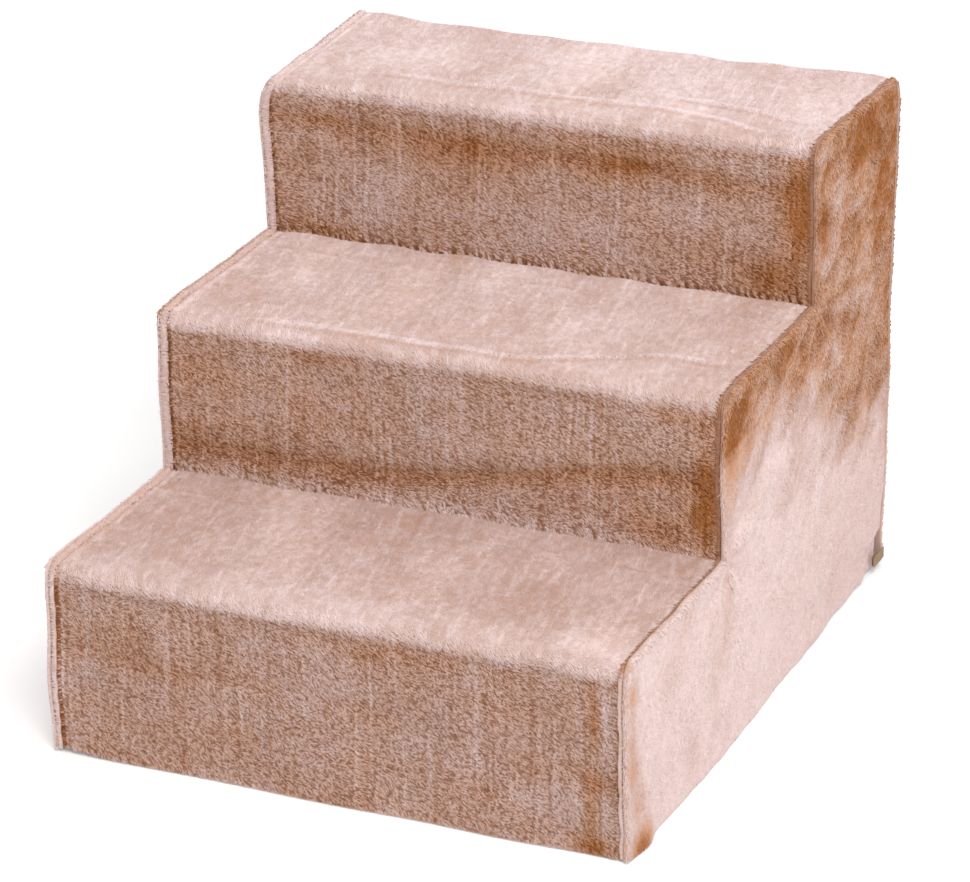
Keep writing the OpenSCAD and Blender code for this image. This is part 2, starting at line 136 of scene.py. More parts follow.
# Step bands: three lengths of short plush with a knitted back. Each runs up a riser, over the
# nose and back along the tread, and is laid over its tray. The pile is brushed smooth on the
# treads, and on the risers it leans to the right and down and shows its roots, which are given
# darker colours as painted shade deep in the pile.
CLOTH = 5 * MM
PILE = 2.2 * MM
NOSE_R = 12 * MM
SEAM_ROLL = 2 * MM
ROLL_SLACK = SEAM_ROLL * (np.pi / 2 - 1)
SKIN_CELL = 4 * MM
FLOOR_GAP = 0.4 * MM
PINK, ROSE, FAWN, OCHRE = "F4E3E2", "DEC4BC", "D8AC90", "B87640"
# The root colours are painted shade: darker colours that the pile takes towards its roots, where
# shade falls between the tufts.
SHADED_ROOT_PINK, SHADED_ROOT_FAWN, SHADED_ROOT_BROWN = "DCC0B8", "A2745A", "7C4824"
SHEEN = "F6E3DC"
# The heading of the risers' pile from straight across, and of pile that hangs over a hem, in
# degrees.
PILE_LEAN, HEM_LEAN, LOW_HEM_LEAN = -14, -83.0789, -85.9437


def plush(name):
    """Pile that goes from ochre over fawn to pink as the attribute nap goes from 0 to 1, and from
    its roots to its tips as the attribute tip does, with fine mottling on object coordinates. The
    darker root colours are painted shade deep in the pile."""
    made, add = new_material(name)
    place = add("ShaderNodeTexCoord").outputs["Object"]
    nap = add("ShaderNodeAttribute", attribute_name="nap").outputs["Fac"]
    tip = add("ShaderNodeAttribute", attribute_name="tip").outputs["Fac"]
    mottle = add("ShaderNodeTexNoise", {"Vector": place, "Scale": 160.0, "Detail": 4.0})
    spread = add("ShaderNodeMapRange", {"Value": mottle.outputs["Fac"], "From Min": 0.3,
                                        "From Max": 0.7, "To Min": -0.05, "To Max": 0.05})
    blotched = add("ShaderNodeMath", {0: nap, 1: spread.outputs[0]}, operation="ADD").outputs[0]

    def ramp(stops):
        node = add("ShaderNodeValToRGB", {"Fac": blotched})
        line = node.color_ramp.elements
        while len(line) < len(stops):
            line.new(0.5)
        for stop, (share, colour) in zip(line, stops):
            stop.position, stop.color = share, linear(colour)
        return node.outputs["Color"]

    tips = ramp([(0.0, OCHRE), (0.35, FAWN), (0.65, ROSE), (1.0, PINK)])
    # Painted shade: the darker colours towards the roots of the pile.
    roots = ramp([(0.0, SHADED_ROOT_BROWN), (0.45, SHADED_ROOT_FAWN), (1.0, SHADED_ROOT_PINK)])
    shown = add("ShaderNodeMapRange", {"Value": tip, "From Min": 0.0, "From Max": 0.65},
                interpolation_type="SMOOTHSTEP")
    tint = add("ShaderNodeMix", {0: shown.outputs[0], 6: roots, 7: tips}, data_type="RGBA")
    fibres = add("ShaderNodeTexNoise", {"Vector": place, "Scale": 1400.0, "Detail": 2.0})
    surface(add, tint.outputs[2], 0.95, fibres.outputs["Fac"], 0.35 * MM, 0.7,
            {"Specular IOR Level": 0.1, "Sheen Weight": 0.25, "Sheen Roughness": 0.45,
             "Sheen Tint": linear(SHEEN)})
    return made


PLUSH = plush("plush")


def mixed(low, high, share):
    """The value that share of the way from low to high."""
    return low + (high - low) * share


def smooth(share):
    """0 below 0, 1 above 1, and the S curve 3s^2 - 2s^3 between."""
    share = np.clip(share, 0, 1)
    return share * share * (3 - 2 * share)


def bell(distance, reach):
    """1 at no distance, and less beyond it, by a bell curve of that reach."""
    return np.exp(-(distance / reach) ** 2)


def ripples(a, b, wavelength, seed, waves=14):
    """A soft field, mostly between -1 and 1: the sum of sine waves of about one wavelength in
    millimetres that cross the (a, b) plane in random directions."""
    draw = np.random.default_rng(seed)
    heading = draw.uniform(0, 2 * np.pi, waves)
    pitch = wavelength * MM * draw.uniform(0.6, 1.6, waves)
    phase = draw.uniform(0, 2 * np.pi, waves)
    total = np.zeros(np.broadcast(a, b).shape)
    for angle, length, start in zip(heading, pitch, phase):
        total += np.sin(2 * np.pi * (a * np.cos(angle) + b * np.sin(angle)) / length + start)
    return total / np.sqrt(waves)


def blotches(a, b, long, wide, heading, seed):
    """A soft field, mostly between -1 and 1, of random blotches, so many millimetres long in one
    heading and wide across it: seeded noise on a square that repeats, blurred by a bell curve of
    that shape and read between its cells in proportion."""
    long, wide = long * MM, wide * MM
    size, cell = 512, wide / 4
    wave = np.fft.fftfreq(size, cell)
    wave_a, wave_b = np.meshgrid(wave, wave, indexing="ij")
    lengthwise = wave_a * np.cos(heading) + wave_b * np.sin(heading)
    sideways = wave_b * np.cos(heading) - wave_a * np.sin(heading)
    passed = np.exp(-2 * (0.4 * np.pi) ** 2 * ((lengthwise * long) ** 2 + (sideways * wide) ** 2))
    noise = np.random.default_rng(seed).normal(size=(size, size))
    field = np.fft.ifft2(np.fft.fft2(noise) * passed).real
    field /= 1.5 * field.std()
    a, b = np.broadcast_arrays(a / cell, b / cell)
    i, j = np.floor(a).astype(int), np.floor(b).astype(int)
    near_a, near_b = 1 - (a - i), 1 - (b - j)
    return sum(field[(i + di) % size, (j + dj) % size] * abs(1 - di - near_a) * abs(1 - dj - near_b)
               for di in (0, 1) for dj in (0, 1))


def spots(a, b, places):
    """The sum of soft round or oval spots, each given as (a, b, reach in a, reach in b, height)."""
    return sum(height * np.exp(-((a - at_a) / reach_a) ** 2 - ((b - at_b) / reach_b) ** 2)
               for at_a, at_b, reach_a, reach_b, height in places)


def rolled_edge(edge):
    """How far the cloth turns in at a seam: a quarter circle over the last of its width."""
    short = np.clip(SEAM_ROLL - edge, 0, SEAM_ROLL)
    return SEAM_ROLL - np.sqrt(SEAM_ROLL ** 2 - short ** 2)


# Where the loose cloth has been tugged: place and reach as shares of half the width, half the depth
# and the height, and the move in millimetres.
TUGS = [
    ((1.0, 1.0, 1.0), (0.8, 0.42, 0.35), (4.2, 3.0, 2.4)),
    ((1.0, 1.0, 1.0), (0.06, 0.10, 0.03), (-2.0, -1.5, -2.6)),
    ((-1.0, 1.0, 1.0), (0.8, 0.34, 0.28), (4.5, 2.5, 1.6)),
    ((-0.93, 1.0, 1.0), (0.10, 0.20, 0.05), (0.0, 0.0, 1.6)),
    ((-1.0, 0.55, 1.0), (0.07, 0.34, 0.06), (1.5, 0.0, -4.2)),
    ((-1.0, 0.38, 0.90), (0.20, 0.14, 0.10), (-3.4, 0.0, 0.0)),
    ((-1.0, -0.60, 0.37), (0.10, 0.25, 0.05), (0.0, 0.0, -1.8)),
    ((-1.0, -1.0, 0.12), (0.15, 0.15, 0.12), (-2.4, 0.0, 0.0)),
    ((1.0, -0.42, 0.02), (0.30, 0.30, 0.30), (2.6, 0.0, 0.0)),
    ((1.0, 0.66, 0.02), (0.30, 0.24, 0.10), (-3.2, -1.6, 0.0)),
    ((1.0, 0.95, 0.46), (0.20, 0.12, 0.18), (0.5, 0.3, 0.0)),
    ((1.0, 0.95, 0.06), (0.15, 0.08, 0.10), (-1.4, -1.2, 0.0)),
    ((-1.0, 0.42, 1.0), (0.10, 0.10, 0.035), (3.0, 0.0, -1.6)),
    ((0.50, 1.0, 1.0), (0.25, 0.20, 0.05), (0.0, 0.0, -1.6)),
    ((1.0, -0.90, 0.0), (0.12, 0.07, 0.09), (3.4, 0.0, 0.0)),
]


def settled(x, y, z):
    """Places on the cover, moved as its loose cloth has settled on the frame: a sum of soft tugs,
    and small wanderings of the whole cloth that keep its seams together."""
    points = np.stack(np.broadcast_arrays(x, y, z), -1)
    x, y, z = np.moveaxis(points, -1, 0)
    size = np.array([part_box("cover_side_right")[1][0], BACK, TREADS[3]])
    shares = points / size
    moved = points.copy()
    for place, reach, move in TUGS:
        near = np.exp(-(((shares - place) / reach) ** 2).sum(-1))
        moved += near[..., None] * np.array(move) * MM
    loose = 0.45 * MM * smooth(z / (30 * MM))
    for axis, (a, b) in enumerate(((y, z), (x, z), (x, y))):
        moved[..., axis] += loose * ripples(a, b, 46, 501 + axis, waves=6)
    return moved


def over_roll(place, end):
    """Where cloth lies across that is laid evenly out to an end and over its rolled edge: straight
    up to the roll, and from there on by the sine of the angle that it has turned."""
    straight = end - SEAM_ROLL
    turned = np.clip((np.abs(place) - straight) / SEAM_ROLL, 0, np.pi / 2)
    return np.sign(place) * (np.minimum(np.abs(place), straight) + SEAM_ROLL * np.sin(turned))


def unit(v):
    """Vectors brought to length 1 along the last axis."""
    return v / np.linalg.norm(v, axis=-1, keepdims=True)


def frame_of(skin, a, b):
    """The point of a skin at (a, b), with its unit directions along a, along b and outwards."""
    step = 0.25 * MM
    root = skin(a, b)
    along_a = unit(skin(a + step, b) - skin(a - step, b))
    along_b = unit(skin(a, b + step) - skin(a, b - step))
    return root, along_a, along_b, unit(np.cross(along_a, along_b))


def placed(name, data, axes=None, place=(0, 0, 0)):
    """An object in the scene, untouched, or with its axes and its place as given."""
    made = bpy.data.objects.new(name, data)
    bpy.context.scene.collection.objects.link(made)
    if axes is not None:
        rows = [[*row, at] for row, at in zip(axes.tolist(), place)]
        made.matrix_world = Matrix([*rows, [0, 0, 0, 1]])
    return made


def add_piece(name, corners, faces, finish, body, values, bake_map=None, smoothed=True):
    """A mesh piece that rides a body, with float attributes on its corners and its own map to
    bake on. The faces are turned round if they enclose a negative volume."""
    sides = faces.shape[1]
    volume = sum(np.linalg.det(corners[faces[:, [0, i, i + 1]]]).sum() for i in range(1, sides - 1))
    if volume < 0:
        faces = faces[:, ::-1]
        bake_map = None if bake_map is None else bake_map[:, ::-1]
    mesh = bpy.data.meshes.new(name)
    mesh.vertices.add(len(corners))
    mesh.vertices.foreach_set("co", corners.astype(np.float32).ravel())
    mesh.loops.add(faces.size)
    mesh.loops.foreach_set("vertex_index", faces.astype(np.int32).ravel())
    mesh.polygons.add(len(faces))
    mesh.polygons.foreach_set("loop_start", np.arange(0, faces.size, sides, dtype=np.int32))
    mesh.polygons.foreach_set("use_smooth", np.full(len(faces), smoothed))
    if bake_map is not None:
        layer = mesh.uv_layers.new(name="OFBake")
        layer.data.foreach_set("uv", bake_map.astype(np.float32).ravel())
    for key, value in values.items():
        layer = mesh.attributes.new(key, "FLOAT", "POINT")
        layer.data.foreach_set("value", np.broadcast_to(value, len(corners)).astype(np.float32))
    mesh.update(calc_edges=True)
    mesh.validate()
    mesh.materials.append(finish)
    made = placed(name, mesh)
    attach(made, body)
    return made


def shell(outer, inner, keep=None):
    """The corners, faces and bake map of a closed thin body between two grids of points of one
    size, and which points they are: every kept cell gives a quad on both faces, and every open
    edge a quad of the rim."""
    rows, places = outer.shape[0] - 1, outer.shape[1] - 1
    keep = np.ones((rows, places), bool) if keep is None else keep
    at = np.arange((rows + 1) * (places + 1)).reshape(rows + 1, places + 1)
    ring = np.stack([at[:-1, :-1], at[1:, :-1], at[1:, 1:], at[:-1, 1:]], -1)
    across, up = np.meshgrid(np.linspace(0, 1, places + 1), np.linspace(0, 1, rows + 1))
    bake = np.stack([across, up], -1).reshape(-1, 2)
    corner_map = [bake[ring[keep]] * (1, 0.78), bake[ring[keep]][:, ::-1] * (1, 0.16) + (0, 0.8)]
    quads = [ring[keep], ring[keep][:, ::-1] + at.size]
    bordered = np.pad(keep, 1)
    neighbours = (bordered[1:-1, :-2], bordered[2:, 1:-1], bordered[1:-1, 2:], bordered[:-2, 1:-1])
    for k, beside in enumerate(neighbours):
        rim = ring[keep & ~beside]
        start, end = rim[:, k], rim[:, (k + 1) % 4]
        quads.append(np.stack([end, start, start + at.size, end + at.size], -1))
        corner_map.append(bake[quads[-1] % at.size] * (1, 0.16) + (0, 0.8))
    quads, corner_map = np.concatenate(quads), np.concatenate(corner_map)
    used, quads = np.unique(quads, return_inverse=True)
    corners = np.concatenate([outer.reshape(-1, 3), inner.reshape(-1, 3)])[used]
    return corners, quads.reshape(-1, 4), corner_map, used


def cloth(name, outer, inner, nap, tip, keep=None):
    """A closed cloth between two grids of points, with a nap and tip for its outer face."""
    corners, quads, corner_map, used = shell(outer, inner, keep)
    shade = np.concatenate([nap.ravel(), np.full(nap.size, 0.6)])[used]
    shown = np.concatenate([np.broadcast_to(tip, nap.shape).ravel(), np.full(nap.size, 0.35)])[used]
    return add_piece(name, corners, quads, PLUSH, "cover", {"nap": shade, "tip": shown},
                     corner_map)


def scattered(a_span, b_span, spacing, seed):
    """One place in every cell of a square grid, moved at random inside its cell, and the cells'
    corners as shares of the whole grid."""
    counts = [int(round((high - low) / spacing)) for low, high in (a_span, b_span)]
    i, j = (grid.ravel() for grid in np.meshgrid(*map(np.arange, counts)))
    draw = np.random.default_rng(seed)
    shares = [(k + draw.uniform(0.08, 0.92, k.size)) / count for k, count in zip((i, j), counts)]
    cell = np.stack([i / counts[0], j / counts[1]], -1)
    return mixed(*a_span, shares[0]), mixed(*b_span, shares[1]), cell, 1 / np.array(counts)


def throws(draw, count):
    """Two ways to throw a number for each of so many tufts: evenly between two values, or round 0
    with a normal spread."""
    return (lambda low, high: draw.uniform(low, high, count),
            lambda wide: draw.normal(0, wide, count))


def tufts(name, skin, a, b, cell, cell_size, length, width, lift, lean, nap, tone, root):
    """The pile as slivers of four triangles, so many millimetres long and wide. A tuft's base
    straddles the skin and its tip lies a length away, turned by lean degrees from the a towards
    the b direction and raised by lift degrees. Tone and root give the attribute tip at its tip and
    at its base: the lower they are, the more of the painted shade of the root colours it takes."""
    length, width, lift, lean = length * MM, width * MM, np.radians(lift), np.radians(lean)
    base, along_a, along_b, up = frame_of(skin, a, b)
    column = lambda value: np.broadcast_to(value, a.shape)[:, None]
    flow = unit(along_a * np.cos(column(lean)) + along_b * np.sin(column(lean)))
    across = np.cross(up, flow)
    aim = flow * np.cos(column(lift)) + up * np.sin(column(lift))
    ridge = np.cross(aim, across)
    half = column(width) / 2
    sunk = base - up * 0.3 * half
    points = np.stack([sunk + across * half, sunk - across * half, sunk + ridge * half * 1.3,
                       base + aim * column(length)], 1)
    points[..., 2] = np.maximum(points[..., 2], FLOOR_GAP)
    first = 4 * np.arange(len(a))[:, None, None]
    faces = first + np.array([[0, 2, 3], [2, 1, 3], [1, 0, 3], [0, 1, 2]])
    laid = cell[:, None, :] + np.array([[0.1, 0.1], [0.9, 0.1], [0.5, 0.2], [0.5, 0.9]]) * cell_size
    tip_value = np.stack([np.broadcast_to(value, a.shape) for value in (root, root, root, tone)], 1)
    return add_piece(name, points.reshape(-1, 3), faces.reshape(-1, 3), PLUSH, "cover",
                     {"nap": np.repeat(nap, 4), "tip": tip_value.ravel()},
                     laid.reshape(-1, 2)[faces.reshape(-1)].reshape(-1, 3, 2), smoothed=False)


bands = {n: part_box(f"cover_step_{n}") for n in STEPS}
HALF = bands[1][1][0]
NOSES = {n: bands[n][0][1] for n in STEPS}
TREADS = {n: bands[n][1][2] for n in STEPS}
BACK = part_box("cover_back")[1][1]
ARC = np.pi / 2 * (NOSE_R - PILE)

# Dark spots on each riser (or, below 0, light ones), partly brushed pile and partly painted shade
# under the nose and along the right seam: share across, share up, reach across, reach up,
# strength.
RISER_NAP_AND_SHADE_SPOTS = {
    1: [(0.12, 0.72, 0.07, 0.10, 0.14), (0.20, 0.52, 0.07, 0.08, 0.12),
        (0.32, 0.26, 0.07, 0.08, 0.18), (0.10, 0.24, 0.07, 0.08, 0.12),
        (0.62, 0.86, 0.12, 0.06, 0.14), (0.956, 0.72, 0.010, 0.18, 0.50),
        (0.952, 0.24, 0.011, 0.14, 0.48), (0.955, 0.04, 0.035, 0.07, 0.55),
        (0.965, 0.38, 0.03, 0.05, 0.25), (0.980, 0.60, 0.010, 0.50, -0.16)],
    2: [(0.06, 0.62, 0.08, 0.12, 0.12), (0.12, 0.50, 0.16, 0.60, 0.07),
        (0.28, 0.87, 0.06, 0.05, 0.22), (0.04, 0.30, 0.03, 0.06, 0.22),
        (0.62, 0.94, 0.03, 0.03, 0.25), (0.75, 0.97, 0.08, 0.04, 0.25),
        (0.92, 0.86, 0.05, 0.06, 0.32), (0.985, 0.35, 0.022, 0.40, 0.62),
        (0.90, 0.10, 0.06, 0.11, 0.45), (0.965, 0.24, 0.02, 0.08, 0.45)],
    3: [(0.09, 0.77, 0.05, 0.05, 0.25), (0.40, 0.66, 0.15, 0.10, 0.24),
        (0.66, 0.74, 0.12, 0.12, 0.36), (0.09, 0.05, 0.07, 0.05, 0.40),
        (0.980, 0.60, 0.028, 0.30, 0.95), (0.94, 0.13, 0.06, 0.14, 0.45),
        (0.22, 0.30, 0.12, 0.20, -0.08), (0.50, 0.30, 0.20, 0.18, -0.08)],
}
# The main fold of each riser: share up at its left and at its right end, depth. The depth also
# sets how dark the painted shade along the fold is.
RISER_FOLDS = {1: (0.56, 0.42, 0.7 * MM), 2: (0.16, 0.46, 2.4 * MM), 3: (0.75, 0.70, 1.6 * MM)}
# Soft ridges along the treads: distance behind the nose at first and at last, the shares across
# between which it changes, and the shares across where the ridge starts and ends.
TREAD_RIDGES = {1: [], 2: [(17 * MM, 55 * MM, 0.60, 0.92, 0.12, 0.98)],
                3: [(34 * MM, 13 * MM, 0.70, 0.95, 0.15, 0.93),
                    (57 * MM, 40 * MM, 0.70, 1.0, 0.66, 0.99)]}


def band_lengths(n):
    """The lengths of cloth up the riser, over the nose and along the tread of step n."""
    foot = bands[n][0][2]
    return TREADS[n] - NOSE_R - foot, ARC, bands[n][1][1] - NOSES[n] - NOSE_R


def tray_end(n):
    """How far behind the nose's round the tray of step n ends under the tread."""
    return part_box(f"tread_tray_{n}")[1][1] - NOSES[n] - NOSE_R


def riser_shares(n, x, s):
    """Shares across and up the riser of step n, for a place x across and s along the band."""
    return (x + HALF) / (2 * HALF), s / (band_lengths(n)[0] + ARC / 2)


def fold_line(n, u):
    """How far up the riser of step n its main fold lies, at a share across."""
    low, high, _ = RISER_FOLDS[n]
    return mixed(low, high, smooth((u - 0.35) / 0.6))


def ridge_share(n, u, t):
    """How near a place on the tread, t behind the nose's round, is to one of its ridges: 0 to 1."""
    found = np.zeros(np.broadcast(u, t).shape)
    for first, last, change, changed, start, end in TREAD_RIDGES[n]:
        line = mixed(first, last, smooth((u - change) / (changed - change))) - NOSE_R
        within = smooth((u - start) / 0.08) * smooth((end - u) / 0.05)
        found = found + within * bell(t - line, 3 * MM)
    return found


def band_relief(n, x, s):
    """How far the skin of band n stands out: the riser sags between nose and foot, with one fold
    across it, the tread ripples a little and dips behind its tray, and both edges roll in."""
    riser, arc, _ = band_lengths(n)
    u, v = riser_shares(n, x, s)
    on_riser = smooth((riser - s) / (6 * MM))
    t = s - riser - arc
    on_tread = smooth(t / (8 * MM))
    riser_sag, riser_drape, tread_drape, ridge = 3.4 * MM, 0.9 * MM, 0.35 * MM, 0.7 * MM
    past_tray, crease_depth, left_bulge = 0.8 * MM, 0.6 * MM, 2.4 * MM
    sag = -riser_sag * (np.sin(np.pi * np.clip(u, 0, 1)) ** 0.5
                        * np.sin(np.pi * np.clip(v, 0, 1)) ** 0.8)
    drape = riser_drape * ripples(x, 1.6 * s, 90, 10 + n)
    above = v - fold_line(n, u)
    fold = RISER_FOLDS[n][2] * (0.7 * bell(above - 0.17, 0.09) - bell(above, 0.06))
    laid = tread_drape * ripples(x, s, 55, 20 + n) + ridge * ridge_share(n, u, t)
    past = t - tray_end(n)
    crease = -crease_depth * bell(past - 0.8 * MM * ripples(x, 0, 70, 30 + n), 2 * MM)
    if n == 1:
        crease += left_bulge * bell(x + HALF - 12 * MM, 11 * MM) * bell(past - 9 * MM, 6 * MM)
    edge = HALF - np.abs(x)
    soft = smooth(edge / (12 * MM))
    return (on_riser * (sag + drape + fold) * soft
            + on_tread * (laid + (past_tray * smooth(past / (8 * MM)) + crease) * (n < 3)) * soft
            - rolled_edge(edge))


def foot_lift(n, x):
    """How much higher the hem of the first band hangs at its corners than in the middle."""
    left_rise, right_rise, right_tip = 3.5 * MM, 0.2 * MM, 1.4 * MM
    share = np.clip(x / HALF, -1, 1)
    return (np.where(share < 0, left_rise, right_rise) * share ** 4
            + right_tip * bell((1 - share) * HALF, 4 * MM)) * (n == 1)


def band_skin(n, depth=0.0):
    """The skin of band n as a function of x and the length s of cloth from its foot, depth below
    the outer one: straight up the riser, a quarter circle over the nose, level along the tread."""
    riser, arc, _ = band_lengths(n)
    nose_y, tread_z, foot = NOSES[n], TREADS[n], bands[n][0][2]

    def skin(x, s):
        turn = np.clip((s - riser) / arc, 0, 1) * np.pi / 2
        out = NOSE_R - PILE + band_relief(n, x, s) - depth
        tucked = 1.8 * MM * (n > 1) * smooth(1 - s / (20 * MM))
        lift = foot_lift(n, x) * smooth(1 - s / riser) - tucked
        y = nose_y + NOSE_R - out * np.cos(turn) + np.maximum(s - riser - arc, 0)
        z = tread_z - NOSE_R + out * np.sin(turn) + np.minimum(s - riser, 0) + lift
        return settled(x, y, z)

    return skin


# How each step is coloured: how its riser and its tread are brushed, how much painted light
# brightens its tread near the nose (below 0, painted shade darkens it), how much painted shade
# darkens the foot of its riser over 2.5 mm and how much lighter that foot is over 11 mm, and the
# tone and roots of its tread.
RISER_NAP, TREAD_NAP = {1: 0.54, 2: 0.51, 3: 0.50}, {1: 0.66, 2: 0.69, 3: 0.80}
NOSE_PAINTED_LIGHT = {1: 0.09, 2: 0.03, 3: -0.05}
FOOT_PAINTED_SHADE, FOOT_LIGHT = {1: 0, 2: 0.06, 3: 0.16}, {1: 0, 2: 0.13, 3: 0.05}
TREAD_TONE, TREAD_ROOT = {1: 0.40, 2: 0.30, 3: 0.16}, {1: 0.32, 2: 0.42, 3: 0.55}
# How far apart the tufts are, in millimetres.
RISER_GAP, TREAD_GAP = {1: 1.04, 2: 0.98, 3: 0.98}, 1.3
# Painted shade as dark ticks between the hanging tufts at the foot of each riser: how far apart
# and how high in millimetres, and how wide.
FOOT_TICK_SHADE = {1: (9, 1, 0.4), 2: (12.5, 9, -0.9), 3: (6.6, 5, 0.3)}


def band_nap(n, x, s):
    """How the pile of band n is brushed, 0 dark to 1 light: fawn on the riser, with dark spots and
    clouds, and light on the tread, with faint strokes, a little darker behind the tray's end.
    Painted into it are shade along the riser's fold, at its foot and along the seams, light on the
    tread near its nose and along its ridges, and shade just in front of each ridge and in the
    crease behind the tray on tread 1."""
    riser, arc, _ = band_lengths(n)
    u, v = riser_shares(n, x, s)
    clouds = (0.06 * blotches(x, s, 60, 30, 0.2, 40 + n)
              + 0.05 * blotches(x, s, 20, 12, 0, 50 + n))
    # Painted shade along the riser's main fold.
    fold = 0.10 * RISER_FOLDS[n][2] / MM * bell(v - fold_line(n, u), 0.07)
    front = RISER_NAP[n] + clouds - fold - 0.85 * spots(u, v, RISER_NAP_AND_SHADE_SPOTS[n])
    behind = s - riser - arc
    pools = (0.055 * blotches(x, s, 60, 34, 1.8, 60 + n)
             + 0.03 * blotches(x, s, 16, 10, 1.8, 65 + n))
    strokes = 0.16 * np.clip(np.abs(blotches(x, s, 26, 1.5, 1.76, 70 + n)) - 0.5, 0, 1)
    strokes += 0.10 * np.clip(blotches(x, s, 5, 2.2, 1.5, 75 + n), -0.5, 1)
    past = behind - tray_end(n)
    # Painted light near the nose and along the ridges, with painted shade just in front of each
    # ridge.
    top = (TREAD_NAP[n] + pools + strokes + NOSE_PAINTED_LIGHT[n] * bell(behind, 24 * MM)
           + 0.2 * ridge_share(n, u, behind) - 0.16 * ridge_share(n, u, behind + 4.5 * MM)
           - 0.03 * smooth(past / (2 * MM)) * (n < 3))
    on_top = smooth((s - riser + 5 * MM) / (0.35 * arc + 5 * MM))
    # Painted shade in the crease behind the tray on the left of tread 1.
    top = top - 0.22 * (n == 1) * bell(past, 1.3 * MM) * smooth((-x - 0.62 * HALF) / (0.3 * HALF))
    # Painted shade in a thin line along both seams.
    seam = mixed(0.28 + 0.14 * (x < 0), 0.06 + 0.30 * (x > 0), on_top)
    seam = seam * bell(HALF - np.abs(x), 0.9 * MM)
    # Painted shade at the foot of the riser, with a lighter band above it.
    foot = FOOT_PAINTED_SHADE[n] * bell(s, 2.5 * MM) - FOOT_LIGHT[n] * bell(s, 11 * MM)
    return np.clip(mixed(front, top, on_top) - seam - foot, 0, 1)


def spread(low, high, cell):
    """Grid lines from low to high, no further apart than a cell."""
    return np.linspace(low, high, int(np.ceil((high - low) / cell)) + 1)


def seam_lines(half, fine):
    """Grid lines over a width, with fine cells beside both seams, given from the seam in
    millimetres."""
    fine = np.array(fine) * MM
    return np.concatenate([fine[:-1] - half, spread(fine[-1] - half, half - fine[-1], SKIN_CELL),
                           half - fine[-2::-1]])


